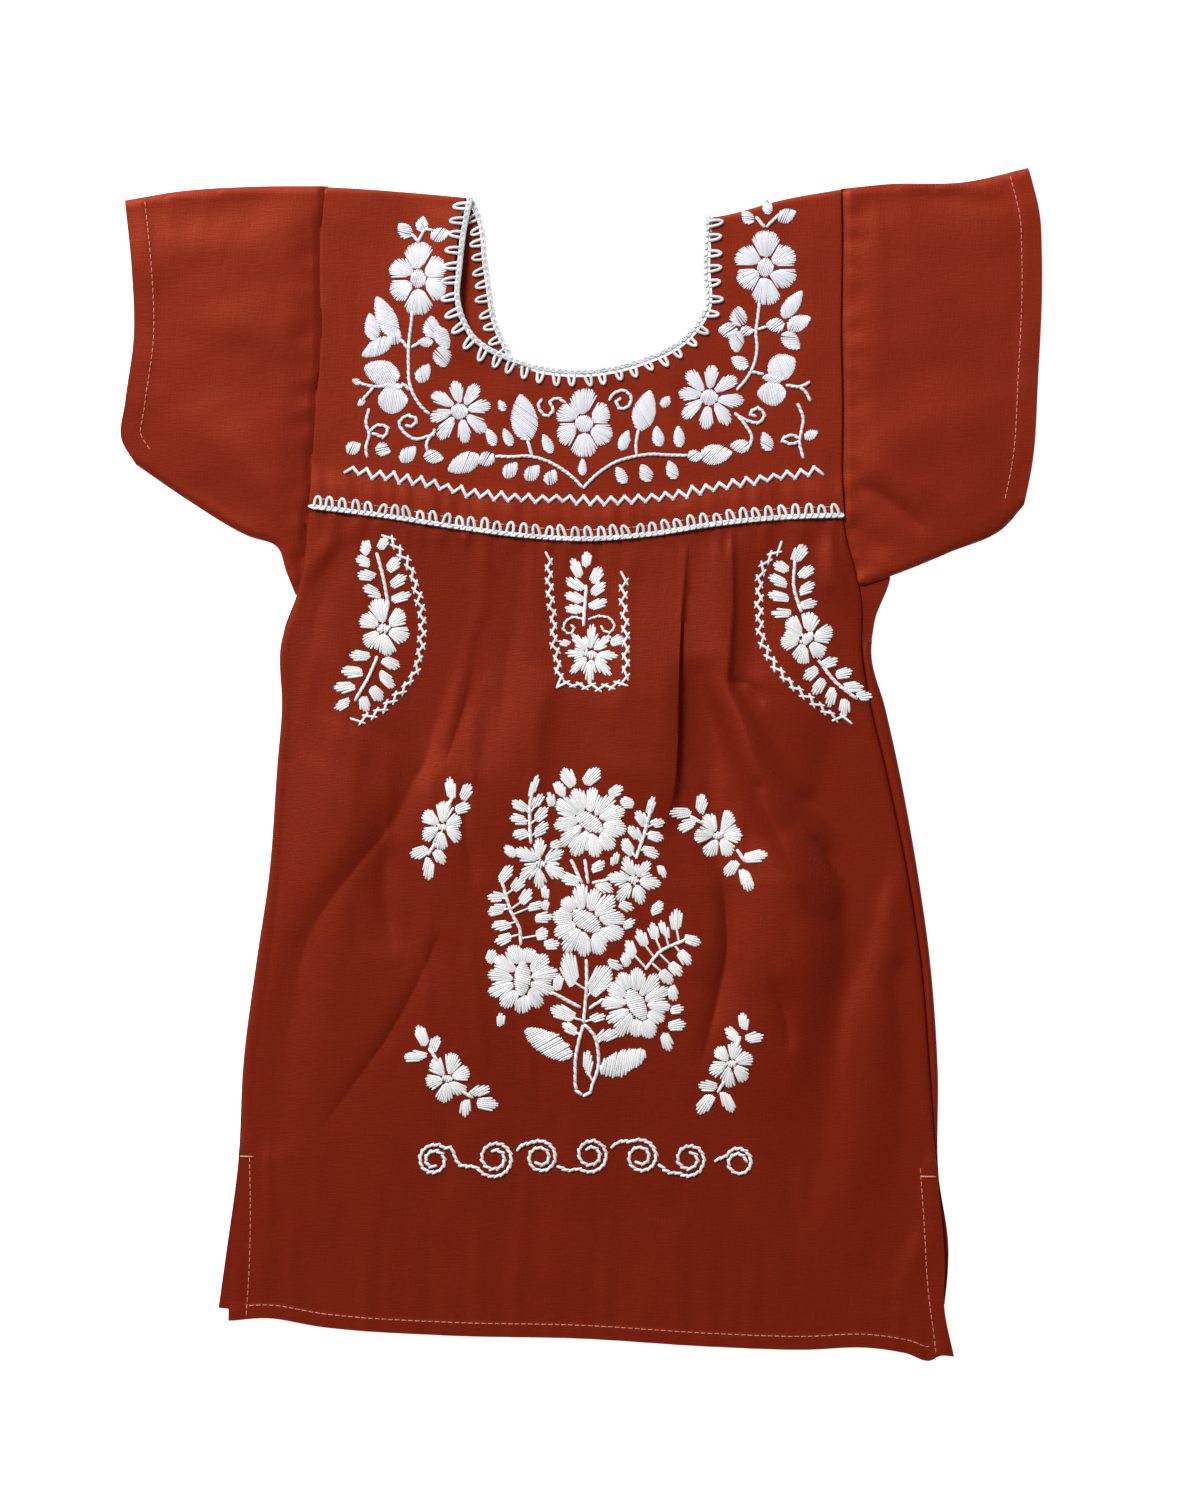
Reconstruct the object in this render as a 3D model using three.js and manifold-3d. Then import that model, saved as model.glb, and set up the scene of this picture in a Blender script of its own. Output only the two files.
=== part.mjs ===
// A child's pull-on dress of plain-weave cotton, of the kind embroidered in Puebla, laid flat on its back.
// A one-piece yoke is folded over at the shoulders and cut out for the neck. A pleated front and a back panel
// hang from it, short flared sleeves are folded at the top and seamed at the underarm, the side seams end in
// hemmed slits, and crocheted edging borders the neck and the front of the yoke seam.
//
// Frame: millimetres, +X to the right as seen from the front, +Y from the hem to the shoulders, +Z up from the
// surface. The origin is the middle of the footprint, on the surface the back of the dress lies on.
import * as THREE from 'three';
import { mergeVertices } from 'three/addons/utils/BufferGeometryUtils.js';
import Module from 'manifold-3d';

const wasm = await Module();
wasm.setup();

// ---- driving sizes -------------------------------------------------------------------------------------------

const CLOTH = 1.0;                      // wall of one layer of cloth
const GAP = 0.3;                        // clearance between layers and along seams
const SEAM = GAP + 0.15;                // clearance along seams whose two edges are stepped differently
const FRONT_UNDER = CLOTH + GAP;        // underside of the front layer
const STACK = FRONT_UNDER + CLOTH;      // top of the front layer where it lies flat
const FOLD_RADIUS = STACK / 2;          // outside radius of cloth folded back over itself
const MID_RADIUS = FOLD_RADIUS - CLOTH / 2;
const LAP = 6;                          // how far the front panel runs up under the yoke
const LAP_SLOPE = 9;                    // length over which the yoke climbs onto the panel
const YOKE_CORD = { width: 2.2, height: 1.7, chamfer: 0.45 };
const NECK_CORD = { width: 3.0, height: 1.7, chamfer: 0.45 };
const PLEAT_RISE = 12;                  // length over which a pleat rises from the yoke seam
const HEM = { depth: 6, extra: 0.5 };   // turned hems, a little thicker than one wall
const EDGE_SHARE = 0.07;                // share of the front's width over which its folds flatten at a side
const SLEEVE_CROWN = 1.4;               // how far a sleeve's front layer stands off its back layer

const COLOURS = { cloth: 0x8a2f1c, edging: 0xe6ecea };

// ---- outlines ------------------------------------------------------------------------------------------------

// Side edges of the yoke, down from the shoulder line to the yoke seam.
const YOKE_SIDES = [
  { y: 262, left: -115.4, right: 116.8 },
  { y: 229, left: -117.6, right: 117.0 },
  { y: 194, left: -116.8, right: 116.6 },
  { y: 159, left: -119.7, right: 117.2 },
  { y: 131, left: -121.5, right: 117.0 },
  { y: 110, left: -123.0, right: 118.2 },
];

// The shoulder fold and the lower edge of the yoke, across from left to right.
const YOKE_ENDS = [
  { x: -124, shoulder: 260.4, lower: 117.4 },
  { x: -91, shoulder: 258.4, lower: 113.3 },
  { x: -55, shoulder: 255.3, lower: 107.8 },
  { x: -25, shoulder: 252.0, lower: 104.0 },
  { x: 3, shoulder: 248.0, lower: 102.6 },
  { x: 30, shoulder: 246.0, lower: 104.6 },
  { x: 60, shoulder: 246.4, lower: 109.2 },
  { x: 92, shoulder: 254.4, lower: 112.3 },
  { x: 119, shoulder: 259.2, lower: 113.2 },
];

// Cut edge of the neck hole, from above the left shoulder round to above the right one. The back of the neck
// lies a little to the right of the front, so it shows inside the left strap.
const NECK_FRONT = [
  [-52.4, 264], [-52.4, 254.6], [-54.4, 245], [-57.0, 225], [-57.8, 207], [-51.4, 191.5], [-27, 178.1],
  [0, 174.2], [26, 178.9], [48, 190.1], [57.8, 204], [57.8, 225], [59, 246.2], [59.2, 264],
];
const NECK_BACK = [
  [-52.4, 264], [-51.9, 254.6], [-47.9, 247], [-44.2, 222], [-38.6, 194], [-31.4, 181.5], [-16, 172.0],
  [5, 169.6], [30, 174], [51, 186], [61.0, 204], [61.2, 225], [59.2, 246.2], [59.2, 264],
];

// The front panel, down from its top edge: heights of the edge at the left, the middle and the right, and the
// positions of the left and right edges.
const FRONT_ROWS = [
  { left: -122.4, right: 117.6, yLeft: 117, yMid: 103, yRight: 113 },
  { left: -123.6, right: 118.4, yLeft: 106, yMid: 92, yRight: 104 },
  { left: -125.0, right: 122.6, yLeft: 91, yMid: 79, yRight: 90 },
  { left: -128.3, right: 126.0, yLeft: 76, yMid: 66, yRight: 75.6 },
  { left: -135.4, right: 126.3, yLeft: 54, yMid: 46, yRight: 50 },
  { left: -135.0, right: 130.4, yLeft: 25, yMid: 18, yRight: 25 },
  { left: -137.0, right: 136.4, yLeft: 0, yMid: -8, yRight: 0 },
  { left: -141.0, right: 146.4, yLeft: -52, yMid: -58, yRight: -48 },
  { left: -146.3, right: 152.4, yLeft: -88, yMid: -94, yRight: -86 },
  { left: -152.4, right: 156.8, yLeft: -136, yMid: -142, yRight: -138 },
  { left: -153.8, right: 160.2, yLeft: -176, yMid: -182, yRight: -185 },
  { left: -157.6, right: 163.4, yLeft: -214, yMid: -220, yRight: -224 },
  { left: -158.6, right: 163.4, yLeft: -236, yMid: -242, yRight: -246 },
  { left: -159.0, right: 167.6, yLeft: -250.6, yMid: -258.6, yRight: -266.6 },
];

// The lower edge of the front, across from left to right.
const FRONT_HEM = [
  { x: -160, y: -250.8 }, { x: -142, y: -249.4 }, { x: -118, y: -253.2 }, { x: -60, y: -257.2 },
  { x: 0, y: -258.6 }, { x: 58, y: -262.2 }, { x: 100, y: -263.6 }, { x: 130, y: -262.8 },
  { x: 146, y: -265.2 }, { x: 157.5, y: -268.4 }, { x: 161, y: -266.4 }, { x: 168, y: -266.6 },
];

// The back panel, in the same form. On the right it reaches past the front and comes round onto it, from the
// underarm to the slit. Below the slits' tops it shows on both sides.
const BACK_ROWS = [
  { left: -122.4, right: 117.6, yLeft: 117, yMid: 103, yRight: 113 },
  { left: -123.6, right: 118.4, yLeft: 106, yMid: 92, yRight: 104 },
  { left: -125.0, right: 122.4, yLeft: 91, yMid: 79, yRight: 90 },
  { left: -127.2, right: 123.8, yLeft: 80, yMid: 70, yRight: 79.6 },
  { left: -128.3, right: 135.6, yLeft: 76, yMid: 66, yRight: 79.4 },
  { left: -134.0, right: 131.4, yLeft: 60, yMid: 52, yRight: 62 },
  { left: -135.4, right: 130.5, yLeft: 52, yMid: 45, yRight: 50 },
  { left: -135.0, right: 136.8, yLeft: 25, yMid: 18, yRight: 25 },
  { left: -137.0, right: 142.4, yLeft: 0, yMid: -8, yRight: 0 },
  { left: -141.0, right: 151.2, yLeft: -52, yMid: -58, yRight: -48 },
  { left: -146.3, right: 156.6, yLeft: -88, yMid: -94, yRight: -86 },
  { left: -152.4, right: 160.4, yLeft: -136, yMid: -142, yRight: -138 },
  { left: -154.4, right: 160.8, yLeft: -176, yMid: -182, yRight: -185 },
  { left: -160.4, right: 165.2, yLeft: -222, yMid: -224, yRight: -216 },
  { left: -163.6, right: 161.5, yLeft: -245, yMid: -252, yRight: -261 },
];
const UNDERARM = { left: 76, right: 80 };
const WRAP = { top: 56, bottom: -172 };               // where the back comes round the right side

// Pleats and large folds of the front, down from the yoke seam: where each ridge runs and how high it stands.
// The steep side is the one the cloth tucks under.
const PLEATS = [
  { name: 'left outer', steep: 1, gentle: 13, sharp: 3.5, run: [
    { y: 106, x: -54, height: 0 }, { y: 84, x: -53.5, height: 2.2 }, { y: 36, x: -63.5, height: 3.6 },
    { y: 6, x: -71, height: 2.8 }, { y: -30, x: -88, height: 1.2 }, { y: -70, x: -110, height: 0 }] },
  { name: 'box left', steep: -1, gentle: 26, sharp: 3, run: [
    { y: 106, x: -25, height: 0 }, { y: 84, x: -27, height: 2.6 }, { y: 50, x: -32, height: 2.4 },
    { y: 10, x: -36, height: 1.2 }, { y: -40, x: -38, height: 0 }] },
  { name: 'box right', steep: 1, gentle: 30, sharp: 2.2, run: [
    { y: 106, x: 46.5, height: 0 }, { y: 84, x: 45.6, height: 3.2 }, { y: 47, x: 44.2, height: 3.8 },
    { y: -8, x: 41.5, height: 3.0 }, { y: -30, x: 39, height: 1.4 }, { y: -70, x: 37, height: 0 }] },
  { name: 'right outer', steep: 1, gentle: 11, sharp: 4, run: [
    { y: 108, x: 67, height: 0 }, { y: 84, x: 68.4, height: 2.2 }, { y: 40, x: 66, height: 3.0 },
    { y: 8, x: 73, height: 2.8 }, { y: -24, x: 88, height: 2.2 }, { y: -80, x: 106, height: 0 }] },
  { name: 'right drape', steep: -1, gentle: 22, sharp: 14, run: [
    { y: 40, x: 112, height: 0 }, { y: -20, x: 118, height: 2.0 }, { y: -80, x: 124, height: 2.6 },
    { y: -150, x: 118, height: 1.4 }, { y: -220, x: 112, height: 0 }] },
  { name: 'left drape', steep: 1, gentle: 16, sharp: 12, run: [
    { y: 20, x: -112, height: 0 }, { y: -50, x: -124, height: 2.0 }, { y: -110, x: -134, height: 1.8 },
    { y: -180, x: -138, height: 0 }] },
];

// Sleeves: the armhole from the top down, the cuff from the top down, and the folded top and seamed lower
// edges from the armhole out.
const SLEEVES = {
  sleeve_left: {
    armhole: [[-115.8, 260.3], [-117.9, 229], [-117.1, 194], [-120.1, 159], [-122.0, 131],
      [-123.6, 112], [-125.5, 91], [-128.8, 76]],
    cuff: [[-205.6, 253.8], [-202.2, 222], [-201.4, 192], [-205.2, 163], [-207.0, 146], [-200.6, 134.8]],
    top: [[-115.8, 260.3], [-149, 260], [-182, 257.8], [-205.6, 253.8]],
    lower: [[-128.8, 76], [-133.2, 87], [-137, 97.6], [-150, 102.6], [-177, 118.6], [-200.6, 134.8]],
    creases: [{ from: [-120, 190], to: [-170, 196], height: 1.0, half: 9 },
      { from: [-128, 104], to: [-160, 140], height: 1.2, half: 10 }],
  },
  sleeve_right: {
    armhole: [[117.1, 259.1], [117.4, 229], [117.0, 194], [117.6, 159], [117.4, 131],
      [118.8, 106], [123.4, 90], [125.2, 80]],
    cuff: [[201.2, 268.5], [206.2, 246], [207.0, 228], [205.2, 172], [202.6, 134], [199.2, 116.6]],
    top: [[117.1, 259.1], [138, 261.2], [173, 262.2], [201.2, 268.5]],
    lower: [[125.2, 80], [137, 83.8], [166, 95.4], [190, 106.2], [199.2, 116.6]],
    creases: [{ from: [128, 96], to: [150, 122], height: 1.6, half: 8 },
      { from: [122, 150], to: [186, 162], height: 1.0, half: 14 }],
  },
};

// ---- curves and tables ---------------------------------------------------------------------------------------

const lerp = (a, b, f) => a + (b - a) * f;
const clamp01 = (f) => Math.min(1, Math.max(0, f));
const smooth = (f) => clamp01(f) ** 2 * (3 - 2 * clamp01(f));

// Smooth value of column `key` where column `by` equals `at`, in a table sorted either way by that column.
function read(rows, by, at, key) {
  const dir = rows[0][by] < rows[rows.length - 1][by] ? 1 : -1;
  let i = 0;
  while (i < rows.length - 2 && (rows[i + 1][by] - at) * dir < 0) i++;
  const slope = (k) => {
    const a = rows[Math.max(0, k - 1)];
    const b = rows[Math.min(rows.length - 1, k + 1)];
    return (b[key] - a[key]) / (b[by] - a[by]);
  };
  const a = rows[i];
  const b = rows[i + 1];
  const step = b[by] - a[by];
  const f = clamp01((at - a[by]) / step);
  const f2 = f * f;
  const f3 = f2 * f;
  return (2 * f3 - 3 * f2 + 1) * a[key] + (f3 - 2 * f2 + f) * step * slope(i)
    + (3 * f2 - 2 * f3) * b[key] + (f3 - f2) * step * slope(i + 1);
}

const planCurve = (points) => new THREE.SplineCurve(points.map(([x, y]) => new THREE.Vector2(x, y)));

// ---- relief --------------------------------------------------------------------------------------------------

const yokeLower = (x) => read(YOKE_ENDS, 'x', x, 'lower');

// Height of the pleats and large folds of the front above its flat level. They start below the edging.
function frontRelief(x, y) {
  let height = 0;
  for (const { steep, gentle, sharp, run } of PLEATS) {
    if (y > run[0].y || y < run[run.length - 1].y) continue;
    const away = (x - read(run, 'y', y, 'x')) * steep;
    const width = away > 0 ? sharp : gentle;
    height = Math.max(height, read(run, 'y', y, 'height') * Math.exp(-((away / width) ** 2)));
  }
  const below = yokeLower(x) - YOKE_CORD.width - 2 * GAP - y;
  return height * smooth(below / PLEAT_RISE);
}

function creaseRelief(creases, x, y) {
  const point = new THREE.Vector3(x, y, 0);
  return creases.reduce((sum, { from, to, height, half }) => {
    const line = new THREE.Line3(new THREE.Vector3(...from, 0), new THREE.Vector3(...to, 0));
    const near = line.closestPointToPoint(point, true, new THREE.Vector3());
    return sum + height * Math.exp(-((near.distanceTo(point) / half) ** 2));
  }, 0);
}

// ---- solids --------------------------------------------------------------------------------------------------

// Closed geometry from two grids of points, [column][row], one on each side of a wall. The outer grid faces out
// when its columns run along +X and its rows along +Y as seen from outside. A closed wall joins its last row
// to its first, so it is a tube.
function wall(outer, inner, closed = false) {
  const columns = outer.length;
  const rows = outer[0].length;
  const position = [...outer.flat(), ...inner.flat()].flatMap((p) => [p.x, p.y, p.z]);
  const out = (i, j) => i * rows + (j % rows);
  const inn = (i, j) => columns * rows + out(i, j);
  const index = [];
  const quad = (a, b, c, d) => index.push(a, b, c, a, c, d);
  const steps = closed ? rows : rows - 1;
  for (let i = 0; i < columns - 1; i++) {
    for (let j = 0; j < steps; j++) {
      quad(out(i, j), out(i + 1, j), out(i + 1, j + 1), out(i, j + 1));
      quad(inn(i, j), inn(i, j + 1), inn(i + 1, j + 1), inn(i + 1, j));
    }
    if (closed) continue;
    quad(out(i, 0), inn(i, 0), inn(i + 1, 0), out(i + 1, 0));
    quad(out(i, rows - 1), out(i + 1, rows - 1), inn(i + 1, rows - 1), inn(i, rows - 1));
  }
  for (let j = 0; j < steps; j++) {
    quad(out(0, j), out(0, j + 1), inn(0, j + 1), inn(0, j));
    quad(out(columns - 1, j), inn(columns - 1, j), inn(columns - 1, j + 1), out(columns - 1, j + 1));
  }
  const geometry = new THREE.BufferGeometry();
  geometry.setAttribute('position', new THREE.Float32BufferAttribute(position, 3));
  geometry.setIndex(index);
  return geometry;
}

function toSolid(geometry) {
  geometry.deleteAttribute('normal');
  geometry.deleteAttribute('uv');
  const merged = mergeVertices(geometry, 1e-4);
  return new wasm.Manifold(new wasm.Mesh({
    numProp: 3,
    vertProperties: merged.getAttribute('position').array,
    triVerts: new Uint32Array(merged.index.array),
  }));
}

function toGeometry(solid) {
  const { vertProperties, triVerts } = solid.getMesh();
  const geometry = new THREE.BufferGeometry();
  geometry.setAttribute('position', new THREE.BufferAttribute(vertProperties, 3));
  geometry.setIndex(new THREE.BufferAttribute(triVerts, 1));
  return geometry;
}

// ---- panels --------------------------------------------------------------------------------------------------

const seamX = (name, y) => read(SLEEVES[name].armhole.map(([x, level]) => ({ x, level })), 'level', y, 'x');

// Place in a panel's table of rows at a share across it and a share down it. The top edge follows the yoke,
// the sides keep clear of the sleeves, and the lower edge follows the hem where one is given.
function panelPoint(rows, across, down, top, hem) {
  const numbered = rows.map((row, number) => ({ ...row, number }));
  const at = down * (rows.length - 1);
  const value = (key) => read(numbered, 'number', at, key);
  const level = (x, y) => {
    const hung = lerp(yokeLower(x) + top, y, smooth(at / 2));
    return hem ? lerp(hung, read(hem, 'x', x, 'y'), smooth(at - rows.length + 2)) : hung;
  };
  let [left, right] = [value('left'), value('right')];
  const [a, b] = [level(left, value('yLeft')), level(right, value('yRight'))];
  if (a > UNDERARM.left) left = Math.max(left, seamX('sleeve_left', a) + SEAM);
  if (b > UNDERARM.right) right = Math.min(right, seamX('sleeve_right', b) - SEAM);
  const x = lerp(left, right, across);
  const y = value('yLeft') * (1 - across) * (1 - 2 * across) + value('yMid') * 4 * across * (1 - across)
    + value('yRight') * across * (2 * across - 1);
  return { x, y: level(x, y) };
}

const rowShares = (rows, extra) => [...rows.map((_, i) => i), ...extra].sort((a, b) => a - b)
  .map((number) => number / (rows.length - 1));

// Columns of the front panel: three at each of the four pleats, so that its steep side is steep, and more
// between them at even spaces.
function frontColumns(down) {
  const place = (across) => panelPoint(FRONT_ROWS, across, down, LAP, FRONT_HEM);
  const [left, right] = [place(0), place(1)];
  const level = lerp(place(0.5).y, left.y, 0.2);
  const between = [4, 0, 0, 1, 0, 0, 3, 0, 0, 1, 0, 0, 3];
  const flank = 2;                      // from the ridge to the column on its gentle side
  const tight = PLEATS.slice(0, 4).flatMap(({ steep, sharp, run }) => {
    const ridge = read(run, 'y', level, 'x');
    const [near, far] = [ridge - steep * flank, ridge + steep * sharp * 1.3];
    return steep > 0 ? [near, ridge, far] : [far, ridge, near];
  });
  const shares = [0, ...tight.map((x) => (x - left.x) / (right.x - left.x)), 1];
  return shares.flatMap((share, i) => Array.from({ length: (between[i] ?? 0) + 1 },
    (_, k) => lerp(share, shares[i + 1] ?? share, k / ((between[i] ?? 0) + 1))));
}

function frontPanel() {
  const last = FRONT_ROWS.length - 1;
  const turned = HEM.depth / (FRONT_ROWS[last - 1].yMid - FRONT_ROWS[last].yMid);
  const downs = rowShares(FRONT_ROWS, [0.4, 1.5, 2.5, 3.5, 4.5, 6.5, last - turned, last - 0.9 * turned]);
  const grid = downs.map((down) => frontColumns(down).map((across) => {
    const p = panelPoint(FRONT_ROWS, across, down, LAP, FRONT_HEM);
    const hem = down * last > last - 0.95 * turned ? HEM.extra : 0;
    const lift = frontRelief(p.x, p.y) * smooth(Math.min(across, 1 - across) / EDGE_SHARE);
    return { ...p, z: STACK + lift, hem };
  }));
  const columns = grid[0].map((_, i) => grid.map((row) => row[i]).reverse());
  return wall(columns.map((c) => c.map((p) => new THREE.Vector3(p.x, p.y, p.z + p.hem))),
    columns.map((c) => c.map((p) => new THREE.Vector3(p.x, p.y, p.z - CLOTH))));
}

// Place across a layer that runs on past `edge`, round it and back over itself, by its length from the middle
// of the fold's start. `outside` is the face that ends up outermost.
function roundSide(edge, past, outside) {
  const turn = Math.min(Math.PI, Math.max(0, past) / MID_RADIUS);
  const back = Math.max(0, past - Math.PI * MID_RADIUS);
  const radius = outside ? FOLD_RADIUS : FOLD_RADIUS - CLOTH;
  return {
    x: edge - FOLD_RADIUS + Math.min(0, past) + radius * Math.sin(turn) - back,
    z: FOLD_RADIUS - radius * Math.cos(turn),
  };
}

function backPanel() {
  const flat = 10;                      // columns on the part that lies flat
  const bend = 6;                       // columns round the side
  const lead = 3;                       // length before the bend that bends with it
  const downs = rowShares(BACK_ROWS, [0.4, 1.5, 5.4, 11.2]);
  const grid = downs.map((down) => {
    const edge = panelPoint(BACK_ROWS, 1, down, -SEAM);
    const left = panelPoint(BACK_ROWS, 0, down, -SEAM);
    const front = read(FRONT_ROWS, 'yRight', edge.y, 'right');
    const strip = edge.x - front - GAP - FOLD_RADIUS;
    const wraps = edge.y < WRAP.top && edge.y > WRAP.bottom && strip > 0;
    const row = [];
    for (let i = 0; i < flat; i++) {
      const share = (i / flat) * (1 - (lead + FOLD_RADIUS) / (edge.x - left.x));
      const p = panelPoint(BACK_ROWS, share, down, -SEAM);
      row.push({ outer: { ...p, z: 0 }, inner: { ...p, z: CLOTH } });
    }
    for (let k = 0; k <= bend + 1; k++) {
      const turn = (Math.max(0, k - 1) / (bend - 1)) * Math.PI * MID_RADIUS;
      const past = k === 0 ? -lead : Math.min(turn, Math.PI * MID_RADIUS) + (k > bend ? strip : 0);
      const plain = edge.x - (lead + FOLD_RADIUS) * (1 - k / (bend + 1));
      const place = (outside) => (wraps ? roundSide(edge.x, past, outside) : { x: plain, z: outside ? 0 : CLOTH });
      row.push({ outer: { ...place(true), y: edge.y }, inner: { ...place(false), y: edge.y } });
    }
    return row;
  });
  const columns = grid[0].map((_, i) => grid.map((row) => row[i]));
  const pick = (side) => columns.map((c) => c.map((p) => new THREE.Vector3(p[side].x, p[side].y, p[side].z)));
  return wall(pick('outer'), pick('inner'));
}

// ---- yoke ----------------------------------------------------------------------------------------------------

const NECK_STEPS = 46;
const neckLine = (points) => planCurve(points).getSpacedPoints(NECK_STEPS);

function yoke() {
  const [head, foot] = [YOKE_SIDES[0], YOKE_SIDES[YOKE_SIDES.length - 1]];
  const columns = 22;
  const plainRows = 5;
  const bendRows = 4;
  const outer = [];
  const inner = [];
  for (let i = 0; i <= columns; i++) {
    const across = i / columns;
    const place = (y) => lerp(read(YOKE_SIDES, 'y', y, 'left'), read(YOKE_SIDES, 'y', y, 'right'), across);
    const lower = yokeLower(lerp(foot.left, foot.right, across));
    const bend = read(YOKE_ENDS, 'x', lerp(head.left, head.right, across), 'shoulder') - FOLD_RADIUS;
    const rows = [{ y: lower, climb: 1 }, { y: lower + LAP + GAP, climb: 1 },
      { y: lower + LAP + LAP_SLOPE / 2, climb: 0.5 }, { y: lower + LAP + LAP_SLOPE, climb: 0 }];
    for (let k = 1; k <= plainRows; k++) rows.push({ y: lerp(rows[3].y, bend, k / plainRows), climb: 0 });
    const out = [];
    const inn = [];
    for (const { y, climb } of rows) {
      const lift = (CLOTH + GAP) * climb;
      out.push(new THREE.Vector3(place(y), y, STACK + lift));
      inn.push(new THREE.Vector3(place(y), y, FRONT_UNDER + lift));
    }
    for (let k = 1; k < bendRows; k++) {
      const turn = Math.PI * (0.5 - k / bendRows);
      const at = (radius) => new THREE.Vector3(
        place(bend), bend + radius * Math.cos(turn), FOLD_RADIUS + radius * Math.sin(turn));
      out.push(at(FOLD_RADIUS));
      inn.push(at(FOLD_RADIUS - CLOTH));
    }
    for (const { y } of [...rows].reverse()) {
      out.push(new THREE.Vector3(place(y), y, 0));
      inn.push(new THREE.Vector3(place(y), y, CLOTH));
    }
    outer.push(out);
    inner.push(inn);
  }
  const prism = (points, low, high) => {
    const shape = new THREE.Shape(neckLine(points));
    const cut = new THREE.ExtrudeGeometry(shape, { depth: high - low, bevelEnabled: false });
    return toSolid(cut.translate(0, 0, low));
  };
  const far = 20;
  const overlap = 0.01;                 // the two cuts pass each other, so that nothing thin is left between them
  return toGeometry(toSolid(wall(outer, inner))
    .subtract(prism(NECK_FRONT, FOLD_RADIUS - overlap, far))
    .subtract(prism(NECK_BACK, -far, FOLD_RADIUS + overlap)));
}

// ---- sleeves -------------------------------------------------------------------------------------------------

// A sleeve is a flattened tube: front layer, fold along the top, back layer, and the underarm seam below.
function sleeve({ armhole, cuff, top, lower, creases }) {
  const along = 9;
  const across = 8;
  const curves = { armhole: planCurve(armhole), cuff: planCurve(cuff), top: planCurve(top), lower: planCurve(lower) };
  const plan = (u, v) => {              // u from armhole to cuff, v from the lower edge to the top
    const [a, c] = [curves.armhole.getPointAt(1 - v), curves.cuff.getPointAt(1 - v)];
    const [t, l] = [curves.top.getPointAt(u), curves.lower.getPointAt(u)];
    const corner = (curve, end) => curve.getPointAt(end);
    const mix = (key) => lerp(a[key], c[key], u) + lerp(l[key], t[key], v)
      - lerp(lerp(corner(curves.lower, 0)[key], corner(curves.top, 0)[key], v),
        lerp(corner(curves.lower, 1)[key], corner(curves.top, 1)[key], v), u);
    return { x: mix('x'), y: mix('y') };
  };
  const outer = [];
  const inner = [];
  for (let i = 0; i <= along; i++) {
    const u = i / along;
    const [low, high] = [plan(u, 0), plan(u, 1)];
    const span = Math.hypot(high.x - low.x, high.y - low.y);
    const lift = (p, v) => (SLEEVE_CROWN * Math.sin(Math.PI * v) * smooth(u * 4)
      + creaseRelief(creases, p.x, p.y) * smooth(Math.min(v, 1 - v) * 6)) * smooth((u + 0.02) * 8);
    const ring = (depth) => {           // depth is 0 on the outside and CLOTH on the inside
      const inset = (depth ? FOLD_RADIUS : FOLD_RADIUS * 0.7) / span;
      const rim = depth / span;
      const points = [];
      for (let j = 0; j < across; j++) {
        const v = lerp(inset, 1 - inset, j / (across - 1));
        const p = plan(u, v);
        points.push(new THREE.Vector3(p.x, p.y, STACK - depth + lift(p, v)));
      }
      const turn = (v) => new THREE.Vector3(plan(u, v).x, plan(u, v).y, FOLD_RADIUS);
      const back = points.map((p) => new THREE.Vector3(p.x, p.y, depth)).reverse();
      return [...points, turn(1 - rim), ...back, turn(rim)];
    };
    outer.push(ring(0));
    inner.push(ring(CLOTH));
  }
  if (plan(1, 0).x < plan(0, 0).x) {    // a left sleeve runs along -X, so its columns are turned round
    outer.reverse();
    inner.reverse();
  }
  return wall(outer, inner, true);
}

// ---- edging --------------------------------------------------------------------------------------------------

// The crocheted chain, as a flat cord with chamfered corners along plan points, between two heights.
function cord({ width, chamfer }, points, low, high) {
  const half = width / 2;
  const [foot, crown] = [low + chamfer, high - chamfer];
  const section = [[half, foot], [half, crown], [half - chamfer, high], [chamfer - half, high],
    [-half, crown], [-half, foot], [chamfer - half, low], [half - chamfer, low]];
  const rings = points.map((p, i) => {
    const run = direction(points, i);
    return section.map(([side, z]) => new THREE.Vector3(p.x + run.y * side, p.y - run.x * side, z));
  });
  const count = section.length;
  const position = rings.flat().flatMap((p) => [p.x, p.y, p.z]);
  const index = [];
  for (let i = 0; i < rings.length - 1; i++) {
    for (let j = 0; j < count; j++) {
      const [a, b] = [i * count + j, i * count + ((j + 1) % count)];
      index.push(a, a + count, b + count, a, b + count, b);
    }
  }
  const end = (rings.length - 1) * count;
  for (let j = 1; j < count - 1; j++) index.push(0, j, j + 1, end, end + j + 1, end + j);
  const geometry = new THREE.BufferGeometry();
  geometry.setAttribute('position', new THREE.Float32BufferAttribute(position, 3));
  geometry.setIndex(index);
  return toSolid(geometry);
}

// Unit direction of a line of plan points at one of them.
function direction(points, i) {
  const before = points[Math.max(0, i - 1)];
  const after = points[Math.min(points.length - 1, i + 1)];
  return new THREE.Vector2().subVectors(after, before).normalize();
}

// The line of a cord that borders a cut edge, on the left of the direction in which the edge runs.
function beside({ width }, points) {
  const away = GAP + width / 2;
  return points.map((p, i) => {
    const run = direction(points, i);
    return new THREE.Vector2(p.x - run.y * away, p.y + run.x * away);
  });
}

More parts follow.
